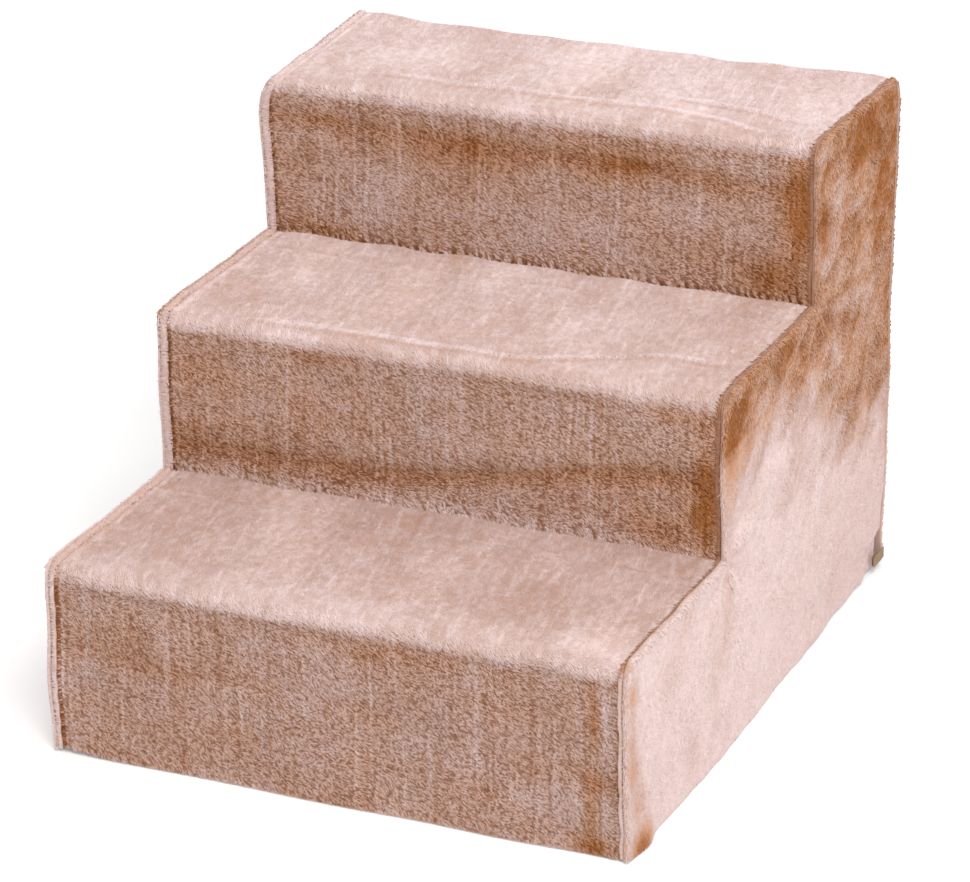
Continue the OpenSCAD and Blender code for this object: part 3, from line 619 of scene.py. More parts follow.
for n in STEPS:
    riser, arc, tread = band_lengths(n)
    xs = seam_lines(HALF, (0, 0.3, 0.9, 2))
    ss = np.concatenate([spread(0, riser, SKIN_CELL)[:-1],
                         spread(riser, riser + arc, 1.6 * MM)[:-1],
                         spread(riser + arc, riser + arc + tread, 0.75 * SKIN_CELL)])
    x, s = np.meshgrid(xs, ss, indexing="ij")
    outer = band_skin(n)(x, s)
    flat_depth = CLOTH - PILE + np.minimum(band_relief(n, x, s), 0) * (s > riser)
    inner = band_skin(n, np.maximum(flat_depth, 1.2 * MM))(x, s)
    # The skin under the riser pile takes the root colours (tip 0.12), as painted shade under the
    # tufts.
    band = cloth(f"band_{n}", outer, inner, band_nap(n, x, s) - 0.1,
                 mixed(0.12, 0.6, smooth((s - riser) / arc)))
    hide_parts(f"cover_step_{n}")

    draw = np.random.default_rng(100 + n)
    across = (-HALF - ROLL_SLACK, HALF + ROLL_SLACK)
    nose_end = riser + 0.4 * arc
    x, s, cell, size = scattered(across, (0, nose_end), RISER_GAP[n] * MM, 110 + n)
    x = over_roll(x, HALF)
    even, normal = throws(draw, x.size)
    strands = np.clip(normal(0.6), -1.2, 1.2)
    # Painted shade in the gaps between tufts: where it is high, the tufts lie lower and their nap,
    # tips and roots are darker.
    gap_shade = bell(blotches(x, s, 1.9, 0.9, np.radians(PILE_LEAN) - 0.2, 150 + n), 0.32)
    drift = blotches(x, s, 60, 24, 1.5, 125 + n)
    column = np.sin(2 * np.pi * (x - 0.02 * s) / (4.6 * MM) + 2.2 * drift) * (0.5 + 0.5 * drift)
    wales = 0.9 * column + 0.8 * blotches(x - 0.02 * s, s, 70, 1.7, np.pi / 2, 120 + n)
    swirl = blotches(x, s, 14, 9, 0, 160 + n)
    thread = np.clip(wales - 0.6, 0, 0.7) - 0.6 * np.clip(-0.4 - wales, 0, 0.7)
    hanging = np.exp(-s / (2.2 * MM))
    fringe = smooth((s - riser + 3 * MM) / (0.3 * arc + 3 * MM))
    lean = mixed(PILE_LEAN, -34, fringe) + 9 * swirl + normal(10)
    lean = np.where(x < 2.2 * MM - HALF, 180 - lean, lean)
    at_edge = smooth((np.abs(x) - HALF + 2.4 * MM) / (1.2 * MM))
    lift = mixed(28, 18, fringe) - 10 * gap_shade * (1 - fringe) + normal(4)
    lift = mixed(lift, 42, at_edge)
    lift = mixed(lift, 24 + normal(14), hanging * (n > 1))
    uneven = blotches(x, s, 17, 9, 0, 170 + n)
    spacing, high, wide = FOOT_TICK_SHADE[n]
    comb = smooth(wide + (1.4 + 0.5 * uneven) * np.sin(
        2 * np.pi * (x + 0.3 * s) / (spacing * MM) + 4.5 * uneven))
    # Painted shade between the hanging tufts at the riser's foot.
    tick_shade = bell(s, high * MM) * (n > 1) * comb * smooth((HALF - np.abs(x)) / (8 * MM))
    tuft = hanging * (n > 1) * (1 - comb)
    # Within the dark spots, which are partly painted shade, the tips are lighter and the gap shade
    # weaker.
    in_dark_spots = np.clip(spots(*riser_shares(n, x, s), RISER_NAP_AND_SHADE_SPOTS[n]), 0, 1)
    # Painted shade: a golden-brown line along the left seam of the riser.
    left_seam_shade = smooth((2.3 * MM - HALF - x) / (0.9 * MM)) * (1 - fringe)
    front_pile = tufts(
        f"pile_riser_{n}", band_skin(n), x, s, cell, size,
        length=mixed(2.5, 3.4, fringe) * (
            1 - 0.25 * gap_shade + 0.1 * strands + 0.4 * hanging + 0.7 * tuft + 0.35 * at_edge),
        width=mixed(1.45, 1.2, fringe) * even(0.8, 1.2), lift=lift * (1 - 0.6 * hanging * (n == 1)),
        lean=mixed(lean, HEM_LEAN, hanging),
        nap=np.clip(band_nap(n, x, s) + (0.09 * strands + 0.21 * thread) * (1 - 0.6 * fringe)
                    - 0.10 * gap_shade * (1 - fringe) - 0.4 * tick_shade + 0.08 * hanging + 0.2 * tuft
                    - 0.40 * left_seam_shade, 0, 1),
        tone=np.clip(0.72 + 0.32 * strands + 0.38 * thread + mixed(0.18, 0.06, n > 2) * fringe
                     - mixed(0.74, 0.88, n > 1) * gap_shade * (1 - 0.7 * fringe) * (1 - 0.6 * in_dark_spots)
                     - 0.75 * tick_shade + 0.2 * tuft + 0.25 * in_dark_spots - 0.16 * left_seam_shade, 0.04, 1),
        root=np.clip(mixed(0.34, 0.42, fringe) + 0.10 * thread - 0.32 * gap_shade * (1 - 0.5 * fringe)
                     - 0.4 * tick_shade + 0.05 * left_seam_shade, 0, 1))

    top_end = riser + arc + (tread if n == 3 else tread - CLOTH + 2.5 * MM)
    x, s, cell, size = scattered(across, (nose_end, top_end), TREAD_GAP * MM, 130 + n)
    x = over_roll(x, HALF)
    even, normal = throws(draw, x.size)
    swept = blotches(x, s, 50, 30, 1.8, 140 + n)
    at_edge = smooth((np.abs(x) - HALF + 3.4 * MM) / (2 * MM))
    top_pile = tufts(
        f"pile_tread_{n}", band_skin(n), x, s, cell, size,
        length=mixed(3.4, mixed(4.8, 5.4, x > 0), at_edge) * even(0.8, 1.2),
        width=1.7 * even(0.8, 1.2),
        lift=mixed(7, mixed(10, 16, x > 0), at_edge) + normal(1.5),
        lean=mixed(mixed(-40, -155, smooth((8 * MM - HALF - x) / (5 * MM))) + 20 * swept,
                   mixed(-168, -12, x > 0), at_edge) + normal(12),
        nap=np.clip(band_nap(n, x, s) + normal(0.015), 0, 1),
        tone=even(0.94, 1.0) - TREAD_TONE[n] * (1 - 0.6 * bell(s - riser - arc, 22 * MM)),
        root=TREAD_ROOT[n])

# Seam welts: a folded strip of the plush, sewn into the seam between the bands and each side
# panel from the front hem to the back of the top tread. It shows as a pale bead between its two
# rows of stitching on the lowest riser, and lies deep in the pile everywhere else.
SIDE_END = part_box("seam_welt_right")[1][1]


def outline_path():
    """The outline of the steps as places at most 2 mm apart, with the run up to each and the
    directions outwards: straight runs, a quarter circle over each nose and a small one in each
    inner corner."""
    inner_r, step = 2.5 * MM, 2 * MM
    ys, zs, outs = [], [], []

    def run(y0, z0, y1, z1, out):
        count = max(int(np.hypot(y1 - y0, z1 - z0) / step), 2)
        share = np.linspace(0, 1, count, endpoint=False)
        ys.append(mixed(y0, y1, share)), zs.append(mixed(z0, z1, share))
        outs.append(np.tile(out, (count, 1)))

    def bend(cy, cz, r, start, end):
        turn = np.radians(np.linspace(start, end, 8, endpoint=False))
        ys.append(cy + r * np.cos(turn)), zs.append(cz + r * np.sin(turn))
        facing = 1 if end < start else -1
        outs.append(facing * np.stack([np.cos(turn), np.sin(turn)], -1))

    for n in STEPS:
        nose, tread = NOSES[n], TREADS[n]
        foot = 2.5 * MM if n == 1 else TREADS[n - 1] + inner_r
        run(nose, foot, nose, tread - NOSE_R, (-1, 0))
        bend(nose + NOSE_R, tread - NOSE_R, NOSE_R, 180, 90)
        end = SIDE_END if n == 3 else NOSES[n + 1] - inner_r
        run(nose + NOSE_R, tread, end, tread, (0, 1))
        if n < 3:
            bend(end, tread + inner_r, inner_r, -90, 0)
    y, z = np.concatenate(ys), np.concatenate(zs)
    along = np.concatenate([[0], np.cumsum(np.hypot(np.diff(y), np.diff(z)))])
    return along, y, z, np.concatenate(outs)


path_run, path_y, path_z, path_out = outline_path()


def on_outline(run):
    """The place y, z at a run along the outline, and the direction outwards in y and z."""
    return [np.interp(run, path_run, values) for values in (path_y, path_z, *path_out.T)]


def welt(side, sign):
    """A tube along the outline whose section is a rounded bead over a flat foot, wandering and
    swelling a little as a sewn edge does, and closed at both ends."""
    low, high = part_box(f"seam_welt_{side}")
    middle, half = abs(low[0] + high[0]) / 2, (high[0] - low[0]) / 2
    along, y, z, out = path_run, path_y, path_z, path_out
    shown = smooth((TREADS[1] - z) / (14 * MM)) * (y < NOSES[1] + NOSE_R)
    depth = mixed(mixed(0.8, 1.9, sign > 0), mixed(1.4, 2.5, sign > 0), out[:, 1] ** 2) * MM
    depth = mixed(depth, 1.8 * MM, shown)
    shown = np.maximum(shown, (sign < 0) * (1 - out[:, 1] ** 2))
    around = np.linspace(0, 2 * np.pi, 12, endpoint=False)
    across = half * np.sign(np.cos(around)) * np.abs(np.cos(around)) ** 0.7
    bead_height, foot_height, crown_height = 1.1 * MM, 2.2 * MM, 1 * MM
    height = np.where(np.sin(around) > 0, bead_height, foot_height) * np.sin(around)
    wander = 0.9 * MM * ripples(along, 0, 18, 400 + sign)[:, None]
    swell = 1 + 0.3 * ripples(along, 0, 9, 410 + sign)[:, None]
    reach = height * swell - depth[:, None]
    points = settled(sign * (middle + across * 0.9 + 0.5 * wander), y[:, None] + out[:, :1] * reach,
                     np.maximum(z[:, None] + out[:, 1:] * reach, 2 * FLOOR_GAP))
    rows, places = points.shape[:2]
    at = np.arange(rows * places).reshape(rows, places)
    beside = np.roll(at, -1, 1)
    quads = np.stack([at[:-1], at[1:], beside[1:], beside[:-1]], -1).reshape(-1, 4)
    corners = np.concatenate([points.reshape(-1, 3), points[[0, -1]].mean(1)])
    triangles = np.concatenate([quads[:, [0, 1, 2]], quads[:, [0, 2, 3]],
                                np.stack([beside[0], at[0], np.full(places, at.size)], -1),
                                np.stack([at[-1], beside[-1], np.full(places, at.size + 1)], -1)])
    # Painted shade: the welt's tips are low on its foot, deep in the seam, and its nap and pile are
    # darker on the right, as a brown line in the seam.
    raised = np.maximum(shown, (sign < 0) * out[:, 1] ** 2)
    crown = np.clip(0.08 + 0.36 * np.sin(around), 0.04, 0.5) * mixed(0.4, 1.3, raised)[:, None]
    crown = np.concatenate([crown.ravel(), [0.2, 0.2]])
    shade = mixed(mixed(0.28, mixed(0.34, 0.62, sign < 0), out[:, 1] ** 2),
                  mixed(0.58, 0.70, sign < 0), shown)
    shade = shade + 0.10 * ripples(along, 0, 30, 420 + sign)
    nap = np.clip(np.concatenate([np.repeat(shade, places), [0.4, 0.4]]), 0, 1)
    made = add_piece(f"welt_{side}", corners, triangles, PLUSH, "cover",
                     {"nap": nap, "tip": crown})
    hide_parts(f"seam_welt_{side}")

    def crown_skin(run, off):
        y, z, out_y, out_z = on_outline(run)
        high = crown_height * np.sqrt(np.maximum(1 - (off / half) ** 2, 0.05))
        high = high - np.interp(run, along, depth)
        return settled(sign * (middle + off), y + out_y * high, z + out_z * high)

    run, off, cell, size = scattered((0, along[-1]), (-half - 1.5 * MM, half + 1 * MM), 0.95 * MM,
                                     430 + sign)
    back, place, _, on_top = on_outline(run)
    on_top = on_top ** 2
    front = smooth((TREADS[1] - place) / (14 * MM)) * (back < NOSES[1] + NOSE_R)
    draw = np.random.default_rng(440 + sign)
    even, normal = throws(draw, run.size)
    bead = np.abs(off) < mixed(0.35, 0.75, even(0, 1)) * half
    keep = np.where(front > 0.5, bead, (sign < 0) | (on_top < 0.5) | (even(0, 1) < 0.25))
    run, off, cell, on_top, place, front = (
        value[keep] for value in (run, off, cell, on_top, place, front))
    even, normal = throws(draw, run.size)
    front = front * (sign > 0)
    smoothed = on_top * (sign < 0)
    top_shade = mixed(mixed(0.60, 0.40, sign > 0), 0.84, smooth((place - TREADS[2]) / (80 * MM)))
    nap = mixed(mixed(mixed(0.74, 0.30, sign > 0), top_shade, on_top), 0.80, front)
    pile = tufts(
        f"pile_welt_{side}", crown_skin, run, off, cell, size,
        length=mixed(3.2, 1.7, front) * even(0.75, 1.25),
        width=mixed(1.1, 1.5, smoothed) * even(0.8, 1.2),
        lift=mixed(16, 7, smoothed) + normal(4),
        lean=mixed(90 * np.where(sign < 0, 1, draw.choice([-1, 1], run.size)), 150, front)
        + normal(25),
        nap=np.clip(nap + normal(0.05), 0, 1),
        tone=np.clip(mixed(mixed(mixed(0.80, 0.45, sign > 0), 0.97, smoothed), 0.86, front)
                     + even(-0.18, 0.18) * (1 - 0.8 * smoothed), 0, 1),
        root=mixed(mixed(mixed(0.45, 0.12, sign > 0), 0.65, smoothed), 0.45, front))
    return made, pile


welts = {side: welt(side, sign) for side, sign in SIDES.items()}

# Closing tabs and hook patches: a short woven tape with sewn edges at each rear bottom corner. It
# is sewn into the back seam and presses onto a patch of hooks on the side panel.


def woven_tape(name, shade, dark):
    """Narrow tape with a herringbone of warp and weft threads, crossed on object coordinates."""
    made, add = new_material(name)
    place = add("ShaderNodeTexCoord").outputs["Object"]
    along = add("ShaderNodeTexWave", {"Vector": place, "Scale": 320.0, "Distortion": 0.6},
                wave_type="BANDS", bands_direction="Y")
    up = add("ShaderNodeTexWave", {"Vector": place, "Scale": 300.0, "Distortion": 0.6},
             wave_type="BANDS", bands_direction="Z")
    weave = add("ShaderNodeMath", {0: along.outputs["Fac"], 1: up.outputs["Fac"]},
                operation="MULTIPLY").outputs[0]
    ramp = add("ShaderNodeValToRGB", {"Fac": weave})
    ramp.color_ramp.elements[0].color = linear(dark)
    ramp.color_ramp.elements[1].color = linear(shade)
    surface(add, ramp.outputs["Color"], 0.85, weave, 0.25 * MM, 0.8,
            {"Specular IOR Level": 0.25, "Sheen Weight": 0.15})
    return made


TAPE = woven_tape("woven_tape", "C6A886", "8E7152")


def tape_piece(name, node, sign, body, wave):
    """A cushioned rectangle over the (y, z) plane of its node: full in the middle, thin at its
    sewn edge, and waved a little along its length."""
    low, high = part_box(node)
    long_places, short_places = 33, 19
    u, v = np.meshgrid(np.linspace(0, 1, long_places), np.linspace(0, 1, short_places),
                       indexing="ij")
    y, z = mixed(low[1], high[1], u), mixed(low[2], high[2], v)
    corner_r = 0.2
    pulled = np.maximum(np.abs(2 * v - 1) - (1 - corner_r), 0) / corner_r
    y = np.where(u < 0.5, y + 1.5 * MM * pulled ** 2 * (1 - 2 * u), y)
    middle, half = (low[0] + high[0]) / 2, (high[0] - low[0]) / 2
    rim = np.minimum(np.minimum(u, 1 - u) * 16, np.minimum(v, 1 - v) * 9)
    full = np.sqrt(np.clip(rim, 0.06, 1)) * (1 - 0.25 * bell(rim - 1.2, 0.25))
    shift = wave * half * np.sin(np.pi * u) * np.cos(2 * np.pi * v)
    outer = np.stack([middle + sign * (half * full * 0.9 + shift), y, z], -1)
    inner = np.stack([middle - sign * (half * full * 0.9 - shift), y, z], -1)
    corners, quads, _, _ = shell(outer, inner)
    made = add_piece(name, corners, quads, TAPE, body, {})
    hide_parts(node)
    return made


patches = {side: tape_piece(f"patch_{side}", f"hook_patch_{side}", sign, "cover", 0.0)
           for side, sign in SIDES.items()}
tabs = {side: tape_piece(f"tab_{side}", f"closing_tab_{side}", sign, f"tab_{side}", 0.1)
        for side, sign in SIDES.items()}

# Side panels: two pieces of the same plush cut to the outline of the steps and sewn along it.
# They hang free below, with a fan of soft folds from each inner corner, and their pile is
# combed down: dark where it stands up near the top, pale where it lies flat.
SIDE_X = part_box("cover_side_right")[1][0]
NOSE_LIST = np.array([NOSES[n] for n in STEPS])
TREAD_LIST = np.array([TREADS[n] for n in STEPS])

# Dark spots on the sides (or, below 0, light ones), partly brushed pile and partly painted shade
# along the front seam and in the curled front corner of the hem: y, z, both reaches, strength.
SIDE_NAP_AND_SHADE_SPOTS = [
    (0.215, 0.335, 0.025, 0.03, 0.28), (0.165, 0.345, 0.05, 0.014, 0.30),
    (0.205, 0.285, 0.022, 0.04, 0.25), (0.100, 0.31, 0.010, 0.02, 0.35),
    (0.122, 0.300, 0.012, 0.035, -0.12), (0.13, 0.225, 0.014, 0.035, -0.12),
    (0.11, 0.14, 0.05, 0.022, -0.16), (0.235, 0.20, 0.012, 0.10, 0.18),
    (-0.05, 0.215, 0.03, 0.035, 0.40), (-0.066, 0.19, 0.012, 0.05, 0.30),
    (0.03, 0.24, 0.03, 0.012, 0.25), (-0.07, 0.09, 0.012, 0.03, 0.22),
    (-0.095, 0.07, 0.010, 0.035, 0.12), (-0.231, 0.085, 0.007, 0.03, 0.36),
    (-0.226, 0.058, 0.010, 0.014, 0.42), (-0.222, 0.034, 0.012, 0.010, 0.45),
    (-0.220, 0.003, 0.015, 0.015, 1.05), (-0.229, 0.114, 0.008, 0.009, 0.42),
    (-0.17, 0.10, 0.02, 0.02, 0.08), (-0.141, 0.122, 0.018, 0.014, 0.16),
    (-0.135, 0.024, 0.012, 0.02, 0.12),
]


def side_edge(y, z):
    """Distance of a place on a side panel from its cut edge: down from its tread, back from its
    riser, or away from an inner corner, whichever is least."""
    column = np.clip(np.searchsorted(NOSE_LIST, y, side="right") - 1, 0, 2)
    row = np.clip(np.searchsorted(TREAD_LIST, z, side="left"), 0, 2)
    found = np.minimum(TREAD_LIST[column] - z, y - NOSE_LIST[row])
    for nose, tread in zip(NOSE_LIST[1:], TREAD_LIST[:-1]):
        below = (y >= nose) & (z <= tread)
        found = np.where(below, np.minimum(found, np.hypot(y - nose, z - tread)), found)
    return found


def side_folds(y, z, turn):
    """Depth of the folds: fans of waves by the angle round each inner corner, fading with the
    distance from it, and shallow waves along the hem."""
    fold_depth, reach, start = 3.2 * MM, 100 * MM, 14 * MM
    fan = 0
    for nose, tread in zip(NOSE_LIST[1:], TREAD_LIST[:-1]):
        far = np.hypot(y - nose, z - tread)
        angle = np.arctan2(tread - z, y - nose)
        wave = np.sin(3 * angle + turn) ** 2 + 0.25 * np.sin(11 * angle + 2 * turn)
        fan = fan + bell(far, reach) * (1 - bell(far, start)) * wave
    hem = np.clip(1 - z / TREAD_LIST[0], 0, 1) ** 2
    hem = hem * np.sin(2 * np.pi * 1.3 * (y + BACK) / (2 * BACK) + turn) ** 2
    return fold_depth * np.clip(0.9 * fan + 0.3 * hem, 0, 1.2)


def side_skin(sign, depth=0.0):
    """The skin of a side panel over the (y, z) plane. Nose corners are brought onto their round,
    the hem rises at both ends, the lower rear corner is cut away at the slit, and the cloth rolls
    in along its seams and sinks in under the closing tab."""
    tab_top, patch_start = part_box("closing_tab_right")[1][2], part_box("hook_patch_right")[0][1]
    front_rise = mixed(0.4 * MM, 3.5 * MM, sign < 0)
    hem_gap, back_rise, bite_height, corner_rise = 0.9 * MM, 5.8 * MM, 3.5 * MM, 2.6 * MM
    slit_width, slit_run, curl_depth = 6 * MM, 20 * MM, 0.6 * MM
    tuck_depth, drape = 3 * MM, 0.5 * MM

    def skin(y, z):
        ry, rz = y, z
        for nose, tread in zip(NOSE_LIST, TREAD_LIST):
            s = (nose + NOSE_R - y) / NOSE_R
            t = (z - tread + NOSE_R) / NOSE_R
            corner = (s > 0) & (s <= 1.001) & (t > 0) & (t <= 1.001)
            bent_s = s * np.sqrt(np.maximum(1 - t * t / 2, 0))
            bent_t = t * np.sqrt(np.maximum(1 - s * s / 2, 0))
            ry = np.where(corner, nose + NOSE_R * (1 - bent_s), ry)
            rz = np.where(corner, tread - NOSE_R * (1 - bent_t), rz)
        along = (y + BACK) / (2 * BACK)
        bite = bite_height * bell(y + BACK - 34 * MM, 13 * MM) * (sign > 0)
        low = hem_gap + np.where(along < 0.5, front_rise * (1 - 2 * along) ** 4,
                                 back_rise * np.abs(2 * along - 1) ** 1.8) + bite
        low = low + corner_rise * bell(y + BACK, 3 * MM) * (sign > 0)
        low = low * np.clip(1 - z / (TREAD_LIST[0] - NOSE_R), 0, 1)
        slit_top = tab_top + 13 * MM
        slit = slit_width * smooth(1 - z / slit_top) * np.clip(
            (y - SIDE_END + slit_run) / slit_run, 0, 1)
        edge = side_edge(y, z)
        rolled = rolled_edge(edge)
        faded = smooth(edge / (18 * MM))
        folds = faded * (side_folds(y, z, 0.9 * (sign < 0)) - drape * ripples(y, z, 45, 200 + sign))
        curl = curl_depth * bell(y + BACK, 22 * MM) * bell(z, 16 * MM)
        sink_start, sink_end = patch_start - 17 * MM, patch_start - 4 * MM
        tucked = smooth((y - sink_start) / (sink_end - sink_start)) * smooth(
            (slit_top - z) / (slit_top - tab_top))
        inwards = np.maximum(tuck_depth * tucked, (folds + curl) * (1 - tucked))
        x = SIDE_X - PILE - rolled - inwards - np.maximum(depth - rolled, 0.5 * MM * (depth > 0))
        return settled(sign * x, ry - slit, rz + low)

    return skin


def side_height(y, z):
    """From 0 on the low, pale part of a side panel to 1 on its high, dark part. The line between
    them falls towards the back."""
    wander = 0.018 * blotches(y, z, 60, 26, 0.6, 205) + 0.010 * blotches(y, z, 24, 9, 0.6, 206)
    return smooth((z + 0.34 * y - 0.140 + wander) / 0.10)


def side_nap(y, z, sign):
    """How a side panel is brushed: dark and blotched near the top, pale and even towards the hem,
    with a thin dark line of painted shade along the seam, strongest at the front of the right
    panel."""
    patches = 0.10 * blotches(y, z, 34, 20, 0.2, 210 + sign) + 0.12 * blotches(
        y, z, 13, 8, 0.2, 220 + sign) + 0.09 * blotches(y, z, 6, 3.4, 0.5, 225 + sign)
    height = side_height(y, z)
    front = (z < TREAD_LIST[0]) * (y < NOSE_LIST[0] + 6 * MM) * (0.6 + 0.4 * ripples(z, 0, 16, 228))
    # Painted shade in a thin line along the seam.
    seam = (0.10 + 0.38 * front * (sign > 0)) * bell(side_edge(y, z), 0.9 * MM)
    return np.clip(mixed(0.85 - 0.07 * smooth(y / (180 * MM)), 0.36, height)
                   + patches * (0.12 + 0.88 * height)
                   - 0.8 * spots(y, z, SIDE_NAP_AND_SHADE_SPOTS) - seam, 0, 1)


def side_lines(starts, end, cell):
    """Grid lines through every start and the end, with fine cells beside each of them."""
    fine = np.array([0, 0.3, 0.9, 2.0]) * MM
    stops = np.append(starts, end)
    lines = [mixed(a + fine[-1], b - fine[-1], np.linspace(0, 1, int(np.ceil((b - a) / cell)) + 1))
             for a, b in zip(stops[:-1], stops[1:])]
    return np.unique(np.round(np.concatenate([*lines, *(stops[:, None] + fine)[:-1],
                                              *(stops[:, None] - fine)[1:]]), 7))


def rim_skin(sign):
    """The rolled edge of a side panel, over the run along its outline and the arc turned from the
    outer face to the seam: a quarter circle that is carried along the outline."""

    def skin(run, arc):
        y, z, out_y, out_z = on_outline(run)
        angle = np.clip(arc / SEAM_ROLL, 0, np.pi / 2)
        inside = SEAM_ROLL * (1 - np.sin(angle))
        x = SIDE_X - PILE - SEAM_ROLL * (1 - np.cos(angle))
        return settled(sign * x, y - out_y * inside, np.maximum(z - out_z * inside, 2 * MM))

    return skin


for side, sign in SIDES.items():
    ys = side_lines(NOSE_LIST, SIDE_END, SKIN_CELL)
    zs = side_lines(np.append(0, TREAD_LIST[:-1]), TREAD_LIST[-1], SKIN_CELL)
    y, z = np.meshgrid(ys, zs, indexing="ij")
    mid_y, mid_z = (ys[1:] + ys[:-1]) / 2, (zs[1:] + zs[:-1]) / 2
    column = np.searchsorted(NOSE_LIST, mid_y) - 1
    keep = mid_z[None, :] < TREAD_LIST[column][:, None]
    panel = cloth(f"side_panel_{side}", side_skin(sign)(y, z), side_skin(sign, CLOTH - PILE)(y, z),
                  side_nap(y, z, sign) - 0.05, mixed(0.6, 0.25, side_height(y, z)), keep)
    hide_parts(f"cover_side_{side}")

    y, z, cell, size = scattered((-BACK, SIDE_END), (0, TREAD_LIST[-1]), 1.55 * MM, 240 + sign)
    inside = z < TREAD_LIST[np.clip(np.searchsorted(NOSE_LIST, y) - 1, 0, 2)]
    y, z, cell = y[inside], z[inside], cell[inside]
    draw = np.random.default_rng(250 + sign)
    even, normal = throws(draw, y.size)
    hanging = np.exp(-z / (2.5 * MM))
    combed = blotches(y, z, 22, 12, 0.4, 260 + sign)
    height = side_height(y, z)
    side_pile = tufts(
        f"pile_side_{side}", side_skin(sign), y, z, cell, size,
        length=4.2 * even(0.75, 1.25), width=1.9 * even(0.75, 1.25),
        lift=mixed(6, 13, height) + (1 + 2 * height) * combed + normal(2),
        lean=mixed(-80 + mixed(5, 20, height) * combed + normal(12), LOW_HEM_LEAN, hanging),
        nap=np.clip(side_nap(y, z, sign) + normal(0.02), 0, 1),
        # The tips are darker in the spots, which are partly painted shade.
        tone=mixed(0.92, 0.78, height) + even(-0.08, 0.08) * (1 + height)
        - 0.45 * np.clip(spots(y, z, SIDE_NAP_AND_SHADE_SPOTS), 0, 1),
        root=mixed(0.55, 0.16, height))

    rolled_arc = SEAM_ROLL * np.pi / 2
    run, turned, cell, size = scattered((0, path_run[-1]), (0, rolled_arc), 1.25 * MM, 270 + sign)
    even, normal = throws(draw, run.size)
    low = rim_skin(sign)(run, turned)
    outer_share = turned / rolled_arc
    brushed = side_nap(low[:, 1], low[:, 2], sign)
    dark = side_height(low[:, 1], low[:, 2]) * (sign > 0)
    # Painted light: the left rim is paler, with light roots, where the lamp does not reach it;
    # painted shade darkens the right rim towards its seam.
    rim_shade = mixed(mixed(0.90, 0.80, sign > 0), 0.42, dark)
    rim_pile = tufts(
        f"pile_rim_{side}", rim_skin(sign), run, turned, cell, size,
        length=3.2 * even(0.75, 1.25), width=1.4 * even(0.75, 1.25),
        lift=mixed(8, 13, sign > 0) + normal(3),
        lean=mixed(180, 270, on_outline(run)[3] ** 2) + normal(20),
        nap=np.clip(mixed(brushed, rim_shade, smooth(outer_share / 0.4))
                    - 0.20 * (sign > 0) * smooth((outer_share - 0.8) / 0.2) + normal(0.04), 0, 1),
        tone=mixed(0.92, 0.55, dark) + even(-0.1, 0.1),
        root=mixed(0.85, 0.20, sign > 0))

# Back panel: one rectangle of plush from the hem to the top tread, rounded over at its top edge,
# with two shallow folds. Its pile lies downwards.
BACK_R = 4 * MM
back_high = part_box("cover_back")[1]
back_top, back_half = back_high[2] - PILE - BACK_R, back_high[0] - 1.2 * MM


def back_skin(depth=0.0):
    """The skin of the back panel over x and the length s of cloth from its hem, sagging in two
    shallow waves and rounded over forwards at the top."""
    half, behind, top = back_high
    sag_depth, drape, hem_gap, corner_rise = 3.2 * MM, 0.4 * MM, 1 * MM, 4 * MM

    def skin(x, s):
        u, v = (half - x) / (2 * half), s / top
        sag = sag_depth * np.sin(np.pi * np.clip(u, 0, 1)) ** 0.7 * np.sin(np.pi * np.clip(v, 0, 1))
        sag = sag * np.sin(np.pi * (1.5 * u + 0.3 * v)) ** 2
        edge = half - np.abs(x)
        ripple = drape * ripples(x, s, 60, 300) * smooth(edge / (12 * MM))
        out = behind - PILE - sag - rolled_edge(edge) - ripple
        turn = np.clip((s - back_top) / BACK_R, 0, np.pi / 2)
        r = BACK_R - depth * 0.6
        y = out - BACK_R + r * np.cos(turn) - depth * 0.4
        rise = (hem_gap + corner_rise * np.abs(2 * u - 1) ** 4) * smooth(1 - s / (0.3 * top))
        return settled(x, y, np.minimum(s, back_top) + r * np.sin(turn) + rise)

    return skin


xs = seam_lines(back_half, (0, 0.8, 2.2))
ss = np.concatenate([spread(0, back_top, SKIN_CELL)[:-1],
                     spread(back_top, back_top + 6.2 * MM, 1.3 * MM)])
x, s = np.meshgrid(xs, ss, indexing="ij")


def back_edge(x, s):
    """How near a place on the back is to its upright edges, from 0 to 1, less so at the hem."""
    return bell(back_half - np.abs(x), 3 * MM) * smooth((s - 90 * MM) / (120 * MM))


def back_nap(x, s):
    """How the back is brushed: pale clouds with darker streaks running down."""
    return np.clip(0.80 + 0.12 * blotches(x, s, 60, 30, 1.4, 310)
                   + 0.06 * blotches(x, s, 30, 8, 1.5, 311) - 0.5 * back_edge(x, s), 0, 1)


back = cloth("back_panel", back_skin()(x, s), back_skin(CLOTH - PILE)(x, s), back_nap(x, s) - 0.05,
             0.5 - 0.4 * back_edge(x, s))
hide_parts("cover_back")
x, s, cell, size = scattered((-back_half, back_half), (0, back_top + 6 * MM), 1.75 * MM, 320)
even, normal = throws(np.random.default_rng(330), x.size)
hanging = np.exp(-s / (2.5 * MM))
combed = ripples(x, 0.2 * s, 14, 340)
at_edge = bell(back_half - np.abs(x), 3 * MM)
back_pile = tufts(
    "pile_back", back_skin(), x, s, cell, size,
    length=mixed(4.4, 3.2, at_edge) * even(0.75, 1.25), width=2.1 * even(0.75, 1.25),
    lift=mixed(17 + 4 * combed, 6, at_edge) + normal(4) * (1 - 0.7 * at_edge),
    lean=mixed(-88 + (20 * combed + normal(14)) * (1 - 0.7 * at_edge), LOW_HEM_LEAN, hanging),
    nap=np.clip(back_nap(x, s) + normal(0.04), 0, 1),
    tone=even(0.8, 1.0) - 0.4 * back_edge(x, s), root=0.12)

